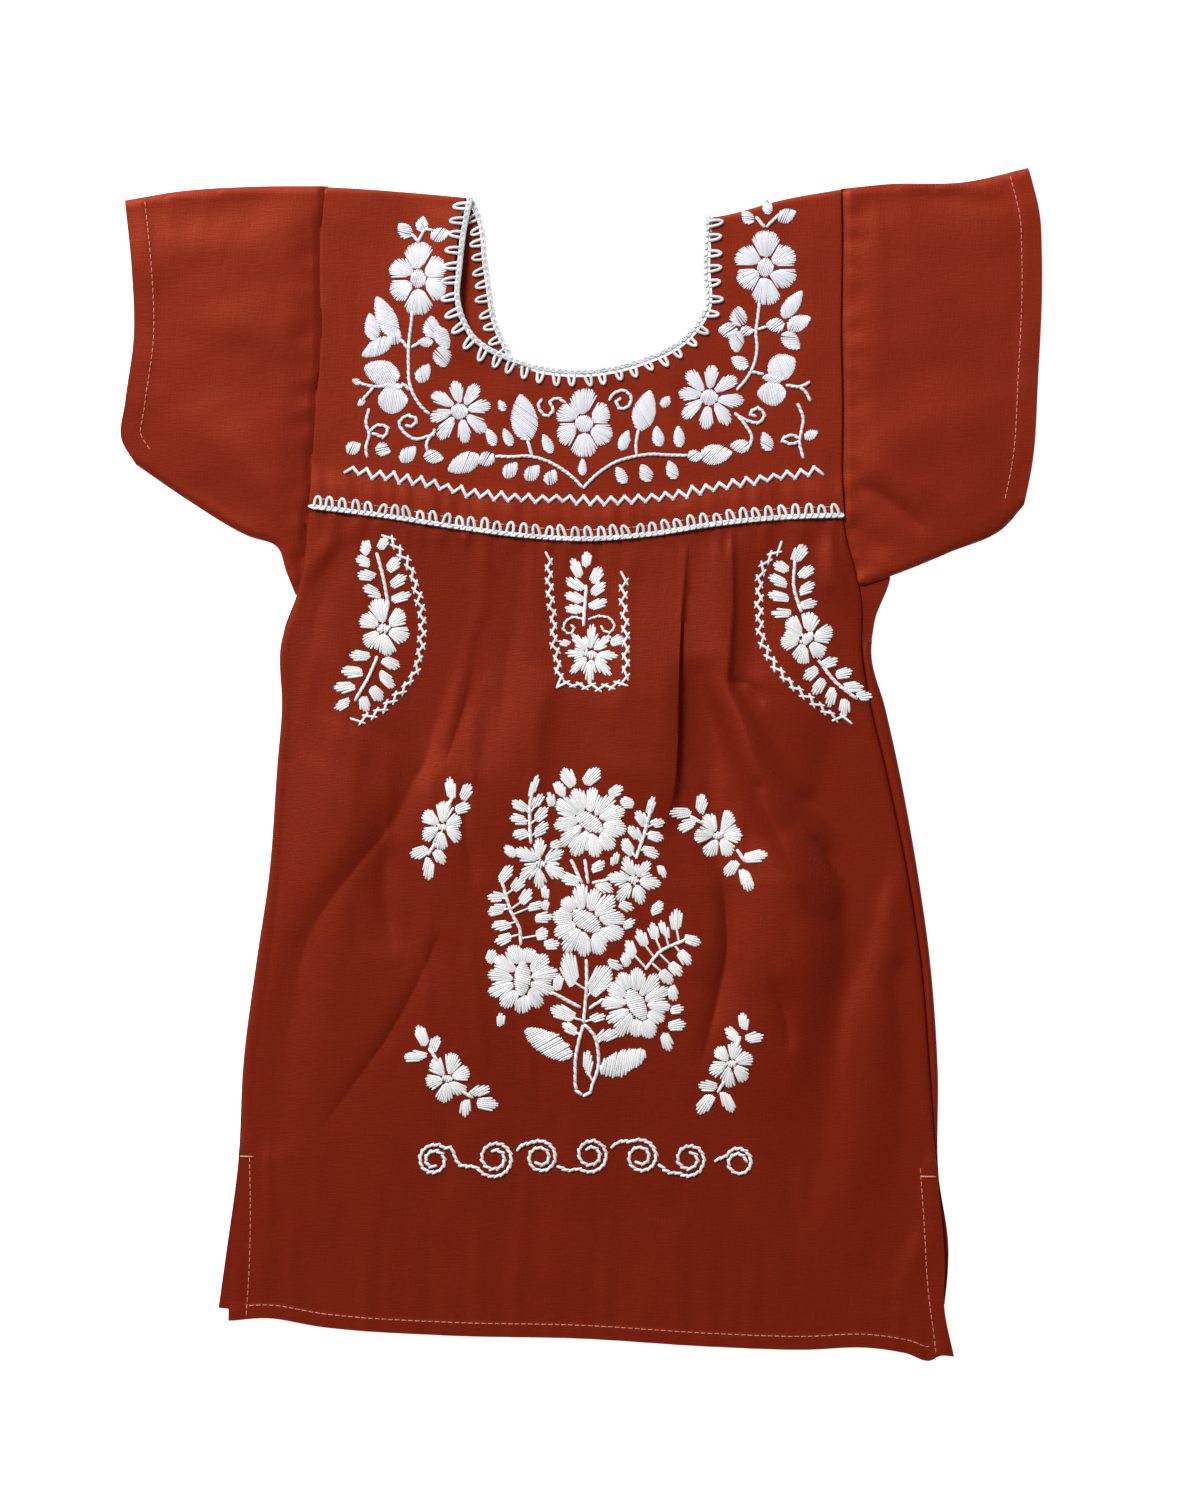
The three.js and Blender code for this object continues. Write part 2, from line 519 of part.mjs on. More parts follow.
// The neck edging runs round the front of the neck and the back of it, joined over the two shoulder folds.
function neckEdging() {
  const fold = (x) => read(YOKE_ENDS, 'x', x, 'shoulder') - NECK_CORD.chamfer;
  const line = (points) => {
    const all = neckLine(points);
    const first = all.findIndex((p) => p.y < fold(p.x));
    const last = all.length - 1 - [...all].reverse().findIndex((p) => p.y < fold(p.x));
    const end = (inside, outside) => inside.clone().lerp(outside,
      (fold(inside.x) - inside.y) / (outside.y - inside.y));
    return beside(NECK_CORD, [end(all[first], all[first - 1]), ...all.slice(first, last + 1),
      end(all[last], all[last + 1])]);
  };
  const front = line(NECK_FRONT);
  const back = line(NECK_BACK);
  const top = FRONT_UNDER + NECK_CORD.height;
  const over = (a, b) => {
    const [side, depth] = [NECK_CORD.width - 2 * NECK_CORD.chamfer, NECK_CORD.width / 2];
    const block = new THREE.BoxGeometry(side, depth, top - NECK_CORD.chamfer);
    const x = Math.abs(a.x) < Math.abs(b.x) ? a.x : b.x;
    return toSolid(block.translate(x, Math.min(a.y, b.y) - depth / 2, top / 2));
  };
  return toGeometry(cord(NECK_CORD, front, FRONT_UNDER, top)
    .add(cord(NECK_CORD, back, 0, CLOTH))
    .add(over(front[0], back[0]))
    .add(over(front[front.length - 1], back[back.length - 1])));
}

// The yoke edging lies on the front panel, along the lower edge of the yoke.
function yokeEdging() {
  const steps = 40;
  const inset = 1;                      // how far it stops short of the armhole seams
  const foot = YOKE_SIDES[YOKE_SIDES.length - 1];
  const [left, right] = [foot.left + inset, foot.right - inset];
  const edge = Array.from({ length: steps + 1 }, (_, i) => {
    const x = lerp(right, left, i / steps);
    return new THREE.Vector2(x, yokeLower(x));
  });
  const seat = STACK + GAP;
  return toGeometry(cord(YOKE_CORD, beside(YOKE_CORD, edge), seat, seat + YOKE_CORD.height));
}

// ---- the dress -----------------------------------------------------------------------------------------------

const clothMaterial = new THREE.MeshStandardMaterial({ color: COLOURS.cloth, roughness: 0.85, metalness: 0 });
const edgingMaterial = new THREE.MeshStandardMaterial({ color: COLOURS.edging, roughness: 0.75, metalness: 0 });

const dress = new THREE.Group();

function piece(name, geometry, material) {
  const mesh = new THREE.Mesh(geometry, material);
  mesh.name = name;
  dress.add(mesh);
}

piece('yoke', yoke(), clothMaterial);
piece('front_panel', frontPanel(), clothMaterial);
piece('back_panel', backPanel(), clothMaterial);
for (const [name, sizes] of Object.entries(SLEEVES)) piece(name, sleeve(sizes), clothMaterial);
piece('neck_edging', neckEdging(), edgingMaterial);
piece('yoke_edging', yokeEdging(), edgingMaterial);

export default dress;
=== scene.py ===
"""A child's embroidered dress of the kind made in Puebla, laid flat on a pale studio floor.

The cloth is plain-weave cotton poplin, dyed terracotta. The embroidery is satin, stem and herringbone
stitch in white cotton floss, worked stitch by stitch, and the neck and yoke are edged with cotton
crochet. Lengths in the tables are millimetres in the frame's own axes: +X to the right of the dress,
+Y to the shoulders, +Z up. Only the sizes of the cut sheets are in metres.
"""
import math
from types import SimpleNamespace

import bpy
import numpy as np
from bpy.props import FloatProperty, FloatVectorProperty, PointerProperty
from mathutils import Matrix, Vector, geometry


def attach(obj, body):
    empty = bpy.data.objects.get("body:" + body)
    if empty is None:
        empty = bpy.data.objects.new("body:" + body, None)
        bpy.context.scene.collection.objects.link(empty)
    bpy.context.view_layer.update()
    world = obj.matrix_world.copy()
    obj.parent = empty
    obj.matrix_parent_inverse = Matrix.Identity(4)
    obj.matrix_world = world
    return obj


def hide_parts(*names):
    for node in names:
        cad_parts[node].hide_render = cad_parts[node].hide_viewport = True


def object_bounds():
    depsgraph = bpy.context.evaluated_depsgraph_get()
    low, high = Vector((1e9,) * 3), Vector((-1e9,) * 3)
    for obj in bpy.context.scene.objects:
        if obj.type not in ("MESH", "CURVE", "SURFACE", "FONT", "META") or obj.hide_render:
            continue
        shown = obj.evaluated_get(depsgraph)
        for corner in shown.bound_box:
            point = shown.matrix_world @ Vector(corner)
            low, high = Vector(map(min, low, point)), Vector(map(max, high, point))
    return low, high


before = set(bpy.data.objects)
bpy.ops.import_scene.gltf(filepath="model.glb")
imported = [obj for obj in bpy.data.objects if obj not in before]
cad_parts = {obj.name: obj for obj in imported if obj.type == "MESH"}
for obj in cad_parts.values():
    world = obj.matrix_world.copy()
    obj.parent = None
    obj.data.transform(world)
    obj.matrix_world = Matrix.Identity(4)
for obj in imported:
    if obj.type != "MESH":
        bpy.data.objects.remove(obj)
CAD_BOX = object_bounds()

bl_info = {
    "name": "Embroidered Puebla Dress",
    "version": (1, 0, 0),
    "blender": (4, 5, 0),
    "location": "3D View > Sidebar > Dress",
    "description": "Builds a child's embroidered cotton dress lying flat, thread by thread",
    "category": "Add Mesh",
}

MM = 0.001


def table(columns, *rows):
    """Rows of numbers as records with named columns."""
    names = columns.split()
    return [SimpleNamespace(**dict(zip(names, row, strict=True))) for row in rows]


def column(rows, *names):
    """Some columns of a table as one array, a row for each record."""
    picked = np.array([[getattr(row, name) for name in names] for row in rows], float)
    return picked[:, 0] if len(names) == 1 else picked


def fold(power, *rows):
    """A fold's power and its points. A point that is given without reaches has those of the one before it."""
    points = []
    for row in rows:
        points.append(row if len(row) == 5 else row + points[-1][3:])
    return power, points


def sleeve(armhole, cuff, top, lower):
    """The edges of a sleeve. Top and lower edge are given without their ends, the corners of the sleeve."""
    return SimpleNamespace(armhole=armhole, cuff=cuff, top=[armhole[0], *top, cuff[0]],
                           lower=[armhole[-1], *lower, cuff[-1]])


def motif(flowers, stems, leaves, tied=False, herringbone=(), curls=(), loose=(), big_leaves=()):
    """A motif of the front. Its leaves may be tied to its stems by a stitch, and the loose ones aren't."""
    return SimpleNamespace(flowers=flowers, stems=stems, leaves=leaves, tied=tied, herringbone=herringbone,
                           curls=curls, loose=loose, big_leaves=big_leaves)


# ---- cut of the dress ----------------------------------------------------------------------------

STACK = 2.3                      # top of the front layer where it lies flat on the back
LAP = 6.0                        # how far the front runs up under the yoke
LAP_SLOPE = 13.0                 # length over which the yoke climbs onto the front
LAP_RISE = 1.0                   # how far it climbs
SEAM = 1.6                       # how far a sleeve runs in under the yoke and the front
FOLD_RISE = STACK / 2            # height of the edge where cloth folds back under itself
EDGE_ROUND = 2.4                 # how far in from a folded edge the cloth is rounded
HEM_WIDTH = 6.0                  # turned edge of the hem and the slits
CUFF_HEM = 9.0                   # turned edge of the cuffs
HEM_RISE = 0.25                  # how far a turned edge stands up

# The shoulder fold and the lower edge of the yoke, across from left to right.
YOKE_ENDS = table(
    "x shoulder lower",
    (-124, 260.4, 117.4), (-91, 258.4, 113.3), (-55, 255.3, 107.8), (-25, 252.0, 104.0), (3, 248.0, 102.6),
    (30, 246.0, 104.6), (60, 246.4, 109.2), (92, 254.4, 112.3), (119, 259.2, 113.2),
)
# Side edges of the yoke, down from the shoulder.
YOKE_SIDES = table(
    "y left right",
    (260, -115.4, 116.8), (229, -117.6, 117.0), (194, -116.8, 116.6), (159, -119.7, 117.2),
    (131, -121.5, 117.0), (112, -122.9, 118.1),
)
# The cut edges of the neck, from the left shoulder to the right one. The back lies a little to the right.
NECK_FRONT = [
    (-52.4, 254.8), (-54.4, 245), (-57.0, 225), (-57.8, 207), (-51.4, 191.5), (-27, 178.1),
    (0, 174.2), (26, 178.9), (48, 190.1), (57.8, 204), (57.8, 225), (59, 246.4),
]
NECK_BACK = [
    (-51.9, 254.8), (-47.9, 247), (-44.2, 222), (-38.6, 194), (-31.4, 181.5), (-16, 172.0),
    (5, 169.6), (30, 174), (51, 186), (61.0, 204), (61.2, 225), (59.2, 246.4),
]
# Edges of the front and of the back, down from the yoke.
FRONT_LEFT = [
    (-122.6, 117.0), (-124.0, 104), (-125.4, 91), (-128.3, 76), (-135.4, 54), (-135.0, 25), (-137.0, 0),
    (-141.0, -52), (-146.3, -88), (-152.4, -136), (-153.8, -176), (-157.6, -214), (-158.6, -236),
    (-159.0, -250.6),
]
FRONT_RIGHT = [
    (117.7, 113.4), (118.8, 104), (122.2, 91), (125.6, 76), (126.3, 50), (130.4, 25), (136.4, 0),
    (146.4, -48), (152.4, -86), (156.8, -138), (160.2, -185), (163.4, -224), (163.4, -246), (167.6, -266.6),
]
FRONT_HEM = [
    FRONT_LEFT[-1], (-142, -249.4), (-118, -253.2), (-60, -257.2), (0, -258.6), (58, -262.2),
    (100, -263.6), (130, -262.8), (146, -265.2), (157.5, -268.4), (161, -266.4), FRONT_RIGHT[-1],
]
BACK_LEFT = [
    (-122.6, 116.6), *FRONT_LEFT[1:3], (-128.0, 77), (-134.0, 60), (-135.4, 52), *FRONT_LEFT[5:10],
    (-154.4, -176), (-160.4, -222), (-163.6, -245),
]
BACK_RIGHT = [
    (117.8, 112.6), *FRONT_RIGHT[1:3], (123.4, 86), (138.0, 86.4), (132.0, 64), (130.5, 50), (136.8, 25),
    (142.4, 0), (151.2, -48), (156.6, -86), (160.4, -138), (160.8, -185), (165.2, -216), (161.5, -261),
]
BACK_HEM = [BACK_LEFT[-1], (-100, -251), (0, -254.5), (80, -256), BACK_RIGHT[-1]]
# Where the back comes round the right side onto the front, and how far from the side seam it ends.
WRAP = SimpleNamespace(top=56, bottom=-182, gap=0.35)

# Sleeves: armhole and cuff from the top down, folded top and seamed lower edge from the armhole out.
SLEEVES = {
    "left": sleeve(
        armhole=[(-115.8, 260.3), (-117.9, 229), (-117.1, 194), (-120.1, 159), (-122.0, 131),
                 (-123.6, 112), (-125.5, 91), (-128.8, 76)],
        cuff=[(-205.6, 253.8), (-202.2, 222), (-201.4, 192), (-205.2, 163), (-207.0, 146), (-200.6, 134.8)],
        top=[(-149, 260), (-182, 257.8)],
        lower=[(-133.2, 87), (-137, 97.6), (-150, 102.6), (-177, 118.6)],
    ),
    "right": sleeve(
        armhole=[(117.1, 259.1), (117.4, 229), (117.0, 194), (117.6, 159), (117.4, 131),
                 (118.8, 106), (123.4, 90), (125.2, 80)],
        cuff=[(201.2, 268.5), (206.2, 246), (207.0, 228), (205.2, 172), (202.6, 134), (199.2, 116.6)],
        top=[(138, 261.2), (173, 262.2)],
        lower=[(137, 83.8), (166, 95.4), (190, 106.2)],
    ),
}

# ---- folds ---------------------------------------------------------------------------------------
# Each fold is a run of points: x, y, its height above the cloth round it, and its reach to the west and to
# the east. West is the side to the right of the run's direction, which is -X for a run down the dress. The
# power before the points is 1 for a sharp crease and 2 for a round one.

FRONT_FOLDS = {
    "box pleat, right edge": fold(
        2, (47.5, 103, 0.4, 22, 0.9), (47, 92, 0.8, 24, 0.9), (46.2, 82, 1.3, 26, 0.9),
        (44.8, 66, 2.4, 28, 1), (43.9, 46, 3.2, 30, 1), (43.4, 26, 3.6, 30, 1.1), (43, 6, 3.6, 28, 1.1),
        (42, -8, 3, 24, 1.4), (39.5, -20, 1.8, 18, 2.4), (36, -34, 0, 12, 5)),
    "right of the box pleat": fold(
        1.3, (51, 50, -0.3, 5, 8), (53, 38, -2.4, 8, 14), (55, 24, -4, 10, 18), (56.5, 6, -4.2, 11, 18),
        (57.6, -12, -3, 10, 16), (60, -36, -1.8, 7, 12), (64.5, -62, -1.8, 5, 10), (65, -86, -1.6, 5, 9),
        (61, -104, -1.3, 6, 8), (59, -122, 0)),
    "right pleat": fold(
        2, (67.7, 103, 0.4, 16, 0.9), (68, 92, 1, 18, 0.9), (67.8, 66, 2, 18, 1.1),
        (66.2, 48, 2.6, 15, 1.6), (65.2, 37, 3.6, 11, 3), (71, 20, 5.2, 9, 6), (79.5, -3, 6, 9, 9),
        (89, -24, 5.6, 9, 12), (97, -42, 4, 9, 14), (102, -58, 1.6), (104, -72, 0, 9, 12)),
    "right of the right pleat": fold(
        1.4, (73, 96, -0.2, 4, 10), (75, 80, -1.2, 5, 12), (76, 56, -1.6, 6, 12), (75, 44, -1.2, 5, 12),
        (76, 34, 0)),
    "right valley": fold(
        1.15, (131, 30, -0.8, 4, 6), (122.5, 11, -3, 16, 14), (119.6, -6.5, -4.4, 28, 20),
        (121, -21.6, -5, 30, 19), (124, -36, -5.6, 26, 16), (126, -50, -6, 20, 13),
        (124.5, -68, -6, 18, 12), (121.5, -88, -5.6, 17, 12), (117, -110, -4.4, 17, 13),
        (113, -140, -2.6, 20, 16), (109, -170, -2), (102, -200, -1.2, 16, 14), (94, -222, 0, 14, 12)),
    "swell by the right valley": fold(
        2, (93, -26, 0, 26, 12), (98, -44, 2.5, 28, 14), (102, -64, 4, 30, 14), (101, -88, 4, 32, 14),
        (97, -112, 2.6, 30, 14), (94, -140, 1.4), (92, -165, 0, 26, 14)),
    "right side ridge": fold(
        2, (149, -30, 0.2, 6, 6), (146, -44, 1.5, 8, 6), (140.5, -62, 2.5, 9, 9), (137, -84, 1.6, 10, 11),
        (133, -104, 1.2, 11, 12), (128, -130, 1, 13, 13), (123, -160, 1, 13, 14), (116, -190, 0.8, 12, 14),
        (106, -220, 0)),
    "box pleat, left tuck": fold(
        1.3, (-25.4, 103, -2.1, 3, 1), (-26.3, 95, -4.6, 4.4, 1.4), (-28.6, 87, -4.4, 6, 2.2),
        (-30.2, 78, -3.4, 8, 3.4), (-31.8, 66, -2.6, 9, 5), (-33.5, 52, -1.8, 9, 7), (-35, 36, -1.2, 8, 8),
        (-37, 16, -0.6), (-38, -6, 0)),
    "left of the centre": fold(
        2, (-13, 46, 0, 11, 5), (-16, 34, 0.8), (-19.5, 20, 1.2), (-21.5, 2, 1.2), (-22, -12, 0.7, 10, 6),
        (-22, -28, 0)),
    "long left fold": fold(
        1.25, (-53.2, 103, -1, 9, 3), (-54, 93, -3, 14, 4), (-55.7, 76, -4.8, 17, 7),
        (-59, 60, -5.2, 18, 9), (-62, 45, -5, 18, 10), (-64.8, 30, -4.8), (-67, 15, -4),
        (-70, 2, -3, 17, 10), (-76.5, -9, -2, 13, 9), (-82, -21, -1.4, 10, 7), (-88.5, -31, -1.2, 8, 4),
        (-100, -45, -1, 7, 3), (-112, -60, -1, 7, 4), (-120, -72, -1.2, 7, 6), (-125.3, -85, -1.7, 7, 9),
        (-129, -102, -2.1, 8, 13), (-134.6, -126, -2.1), (-138.6, -148, -1.9, 7, 13), (-141, -165, -1.3),
        (-139, -180, 0, 7, 10)),
    "bulge above the long fold": fold(
        2, (-80, 8, 0, 26, 9), (-86, -3, 0.7, 30, 9), (-91, -14, 1.4, 34, 10), (-98, -25, 1.8, 36, 11),
        (-109, -39, 1.9, 34, 11), (-121, -54, 1.6, 30, 10), (-128.5, -67, 1, 24, 9), (-133, -82, 0, 20, 8)),
    "left roll": fold(
        2, (-43, 100, 0.2, 9, 7), (-44.4, 84, 0.7), (-46.8, 69, 0.9, 9, 6), (-50, 56, 1, 8, 5),
        (-53, 41, 1), (-57, 26, 1), (-60.5, 11, 0.9, 7, 5), (-64, -3, 0.5, 6, 6), (-71, -15, 0.2, 5, 8),
        (-80, -28, 0)),
    "hooked crease": fold(
        1.3, (-32.5, 71, 0, 2, 3), (-41.5, 64, -1.2, 3, 5), (-46.2, 54, -1.9, 3, 6),
        (-48.6, 41, -1.9, 4, 7), (-52.6, 26, -1.9, 4, 8), (-57.4, 11, -1.4), (-63, -4, 0, 4, 7)),
    "upright crease": fold(1.6, (-42.7, 38, 0, 4, 6), (-42.9, 24, -0.8), (-44.3, 6, -0.8), (-46.5, -10, 0)),
    "by the left sprig": fold(
        1.4, (-47, -4, 0, 3, 4), (-51, -14, -0.7), (-52, -30, -0.7), (-50, -44, -0.8), (-46, -56, 0)),
    "below the long fold": fold(
        1.4, (-86.4, -32, 0, 5, 4), (-88, -46, -1.9, 6, 4), (-88, -58, -2.1), (-86, -72, -1.8),
        (-84, -88, 0, 6, 5)),
    "thin crease": fold(
        1.1, (-62, -72, 0, 2.4, 7), (-66, -81, -0.7), (-76.7, -104, -1, 2.4, 8), (-89.6, -126, -1, 2.4, 9),
        (-100.4, -141, -0.8), (-112, -157, -0.4), (-118, -166, 0, 3, 9)),
    "left underarm drag": fold(
        1.3, (-100, 103, 0, 3, 5), (-107.5, 95, -1.8), (-115.5, 85, -2.4), (-122.5, 76, -2),
        (-128, 70, -0.8, 3, 4)),
    "left armhole": fold(
        2, (-111, 104, 0, 6, 5), (-117, 96, 1.3), (-122.5, 87, 1.4, 5, 5), (-127, 79, 0, 4, 4)),
    "left underarm, short": fold(
        1.2, (-116.4, 79, 0, 3, 3), (-118.4, 73, -1), (-120, 66, -0.8, 3, 4), (-121, 56, -0.3, 3, 5),
        (-121, 46, 0)),
    "left side seam": fold(
        1.4, (-128.6, 74, 0, 1.3, 1.3), (-131.4, 55, -0.4), (-131, 25, -0.4), (-132.6, 0, -0.4),
        (-136, -52, -0.4), (-140.4, -88, -0.4), (-146.4, -136, -0.4), (-149, -168, 0)),
    "pucker at the left side": fold(1.2, (-136, 7, 0, 2.4, 2.4), (-133.5, 2, -0.9), (-130, -4, 0)),
    "crease by the right underarm": fold(
        1.2, (108, 83, 0, 5, 4), (115, 68, -2.6), (121.6, 55, -3), (127, 43, 0)),
    "right armhole": fold(
        2, (108, 104, 0, 7, 5), (113, 96, 1.6, 8, 5), (115.5, 86, 2.2), (118, 74, 2), (121, 62, 1, 7, 5),
        (124, 52, 0, 6, 5)),
    "small crease": fold(
        1.3, (84, -94, 0, 3, 4), (87, -102, -1.3, 3, 5), (91, -112, -1.9), (93, -122, -1.3), (93, -132, 0)),
    "by the lower right sprig": fold(
        1.2, (62.5, -48, 0, 2.6, 4), (64.5, -62, -0.9, 2.6, 5), (65.3, -85, -1.1), (61, -106, -1.3),
        (56.5, -124, -1), (53, -140, 0)),
    "edge of the right pleat": fold(
        1.3, (78, -12, 0, 5, 3), (84, -24, 1), (91, -38, 1.2), (97, -52, 1), (101, -62, 0)),
    "right side": fold(
        1.6, (145, -84, 0, 7, 3), (146, -96, -2.7, 8, 3), (152, -112, -4, 9, 3), (155.6, -140, -4.5),
        (156, -170, -4), (150, -188, -3.6, 12, 6), (142, -204, -3.6, 14, 8), (138, -226, -2.7, 12, 10),
        (140, -250, 0, 10, 10)),
    "hook by the right pleat": fold(
        1.3, (66, 44, 0, 2.5, 3), (68.5, 36.5, -0.9), (73.5, 36.5, -1), (79, 31.5, -1, 3, 3),
        (81.5, 23, 0)),
    "across the right pleat": fold(1.3, (75.5, -8, 0, 2.5, 2.5), (79.5, -10, -0.8), (84, -13, 0)),
    "upper drag": fold(
        1.4, (94, -11.5, 0, 3, 3), (100, -15.5, -1.2, 3, 3.5), (108, -18.5, -1.5, 3, 4), (116, -20.5, 0)),
    "lower drag": fold(
        1.4, (101, -29, 0, 3, 3.5), (106, -36, -1.6, 3, 4), (114, -45, -2.4, 3, 4.5),
        (120, -51, -1.6, 3, 4), (127, -56, 0)),
    "above the right slit": fold(
        2, (150, -178, 0, 12, 5), (146, -188, 1.3), (139, -202, 1.6), (131, -216, 1.4), (124, -230, 0)),
    "across the right slit": fold(
        2, (158, -204, 0, 6, 10), (152, -214, 1.4), (145, -226, 1.6), (139, -237, 1.2), (134, -248, 0)),
}
# Short gathers of the front just below the yoke.
GATHERS = table(
    "x length height",
    (-104, 26, 0.5), (-92, 18, 0.4), (-40, 22, -0.5), (6, 34, -0.6), (14, 16, 0.3), (56, 26, -0.5),
    (80, 24, 0.5), (88, 20, -0.5), (99, 30, 0.6), (106, 26, -0.6), (112, 22, 0.5),
)
YOKE_FOLDS = {
    "standing neck edge": fold(
        2, (-53, 252, 0.6, 16, 5), (-56, 236, 2.0), (-57, 212, 2.4), (-52, 193, 1.8, 14, 5),
        (-40, 184, 0.6, 12, 5), (-26, 178, 0, 10, 5)),
    "left of the neck": fold(2, (-28, 168, 0, 3, 4), (-29, 158, -0.5), (-31, 146, 0)),
    "right of the neck": fold(2, (44, 176, 0, 3, 4), (45, 164, -0.5), (44, 148, 0)),
    "over the left pleat": fold(2, (-52, 127, 0, 5, 4), (-54, 116, -0.6), (-55, 106, -0.7)),
    "over the box pleat": fold(2, (-26, 120, 0, 5, 4), (-27, 108, -0.6)),
    "over the middle": fold(2, (14, 122, 0, 4, 6), (12, 106, 0.5)),
    "over the right pleat": fold(2, (48, 126, 0, 5, 5), (48, 108, 0.6)),
    "right end": fold(1.6, (84, 128, 0, 6, 5), (89, 118, -0.8, 5, 4), (97, 111, -0.8)),
    "left strap": fold(2, (-101, 246, 0, 12, 9), (-103, 215, -0.5), (-104, 180, 0)),
    "right strap": fold(2, (100, 240, 0, 9, 9), (103, 200, 0.5), (106, 150, 0)),
}
SLEEVE_FOLDS = {
    "left": {
        "underarm": fold(
            1.3, (-121, 103, 0, 3, 4), (-125.4, 94, -1.9), (-128.6, 85, -1.9), (-129.6, 79, 0)),
        "from the seam": fold(2, (-117, 194, -0.5, 4, 4), (-122, 193, -0.7, 5, 4), (-136, 189, 0, 6, 5)),
        "upper": fold(2, (-122, 186, 0, 10, 9), (-150, 196, 1.0, 12, 10), (-190, 204, 0, 14, 12)),
        "lower": fold(
            2, (-127, 104, 0, 8, 7), (-142, 124, 1.2, 9, 8), (-160, 146, 1.0, 12, 10), (-184, 166, 0)),
        "top": fold(2, (-130, 250, 0, 8, 8), (-160, 247, -0.7, 8, 9), (-192, 242, 0, 8, 8)),
    },
    "right": {
        "underarm": fold(
            1.3, (118, 125, 0, 2.5, 3), (125, 124.5, -1.2, 3, 3.5), (131.5, 122.5, -1.8, 3.5, 4),
            (140, 117, -1.8, 4, 4), (148, 110.5, -1.6), (157, 101.5, 0, 3, 4)),
        "above the underarm": fold(2, (122, 134, 0, 8, 9), (135, 131, 0.9), (148, 122, 0.9), (158, 112, 0)),
        "in the underarm": fold(
            2, (119, 112, 0, 8, 8), (126, 104, -1.2, 9, 8), (134, 97, -1.2, 8, 7), (140, 91, 0, 6, 6)),
        "armhole": fold(
            1.3, (118.5, 112, 0, 2, 3), (119.8, 104, -1, 2, 4), (122.5, 94, -1.6, 2, 5), (125, 86, -1.6),
            (127, 81, 0, 2, 4)),
        "middle": fold(
            2, (118, 137, -0.3, 10, 9), (140, 146, 1.0, 12, 12), (170, 158, 1.0, 16, 14), (198, 168, 0)),
        "top": fold(2, (140, 257.5, 0, 5, 4), (160, 256, -0.7), (180, 253.5, -0.7), (197, 252, 0)),
        "upper": fold(2, (122, 226, 0, 14, 14), (150, 214, 0.8, 16, 14), (188, 206, 0)),
    },
}


# ---- embroidery ----------------------------------------------------------------------------------
# Leaves and dots lie about their centres, and their angles run anticlockwise from +X to their tips.

LEAF = "x y length width turn"
FLOWER = "x y across up petals turn core_length core_width core_turn style"

YOKE_FLOWERS = table(
    FLOWER,
    (-73.4, 218.2, 26.4, 32.8, 6, 90, 6.2, 8.2, 0, "fine"),
    (82.8, 223.4, 27.8, 32.8, 6, 90, 6.6, 8.2, 0, "fine"),
    (1.15, 153.2, 25.4, 30.8, 6, 90, 7.4, 7.6, 0, "fine"), (-54.9, 158.7, 29, 29, 8, 100, 7, 7, 0, "daisy"),
    (57.5, 165, 29, 29, 8, 82, 7, 7, 0, "daisy"),
)
YOKE_LEAVES = table(
    LEAF,
    # the tops of the straps
    (-79.7, 240, 8, 7, 130), (-71.8, 242.8, 7, 6, 80), (-63.6, 238, 9, 7, 15), (74.6, 245.8, 7, 5.8, 135),
    (83.6, 250.6, 7, 5, 100), (92.4, 246.8, 9, 6.8, 25),
    # buds
    (-88.1, 201.1, 20.5, 9.5, 115), (-94.3, 196.6, 12.5, 7.4, 100), (-92, 187.3, 15.6, 8, 210),
    (-84.1, 192.3, 7.5, 7, 60), (94.8, 206.8, 15, 7.5, 54), (97.8, 198.4, 11.5, 8, 25),
    (94.3, 190.3, 10.5, 7.8, -45), (87.2, 197.4, 8.4, 7, 180),
    # trefoils
    (-67.5, 196.4, 10, 8.4, 90), (-62.6, 191.6, 11.5, 7.4, -60), (-62.6, 183, 9.4, 9, -80),
    (-70.2, 189.6, 7, 5, 180), (70.6, 201.3, 9, 8.4, 90), (65.9, 195, 8.6, 7.6, 180),
    (69.8, 190.1, 10, 7.4, -90), (74.5, 195, 6, 5.2, 0),
    # single leaves below them
    (-71.1, 175.8, 9.4, 7, 60), (71.1, 180.5, 8.6, 6.6, 150),
    # round the corner sprigs
    (-102.6, 142.3, 7.2, 6.6, 30), (-89.3, 141.5, 7, 6.8, -20), (-78, 139.4, 9.4, 7, 45),
    (-66.5, 138.2, 9, 6.6, -10), (103.3, 148.1, 6.6, 5, 30), (83.2, 145, 9, 6.2, 110),
    (71.4, 142.9, 9, 6.6, 180),
    # the ends of the garland
    (-42.8, 137, 8, 7.2, 205), (-53, 135.2, 15.6, 9.6, 205), (51.2, 138.6, 7, 6, 0),
    (60.6, 139.3, 14.8, 9.8, 5),
    # below the garland
    (-32, 132.3, 8.6, 6.8, 50), (-22.1, 131.1, 8.8, 6.8, 45), (-13.8, 129, 7.4, 6.6, 60),
    (0.4, 133.5, 7.4, 4.4, 90), (17.7, 129.8, 8.4, 5.6, 120), (28.8, 130.8, 8.6, 6.4, 115),
    (40.6, 132.2, 8.8, 5.8, 110),
    # above the garland
    (-35.9, 161.1, 5.4, 4.2, 120), (-40.7, 146.9, 8.4, 5.2, 115), (-33.3, 146.9, 8.6, 4.8, 115),
    (-15.4, 144, 9.4, 5.2, 115), (-26, 155.8, 21.5, 12.4, 98), (28.4, 159.1, 19, 10.8, 75),
    (19.3, 145.6, 9.8, 5.6, 70), (34.3, 147.3, 9.4, 6, 100), (43.8, 147.2, 9.8, 5.6, 95),
    (37.8, 163, 5.6, 5, 60),
)
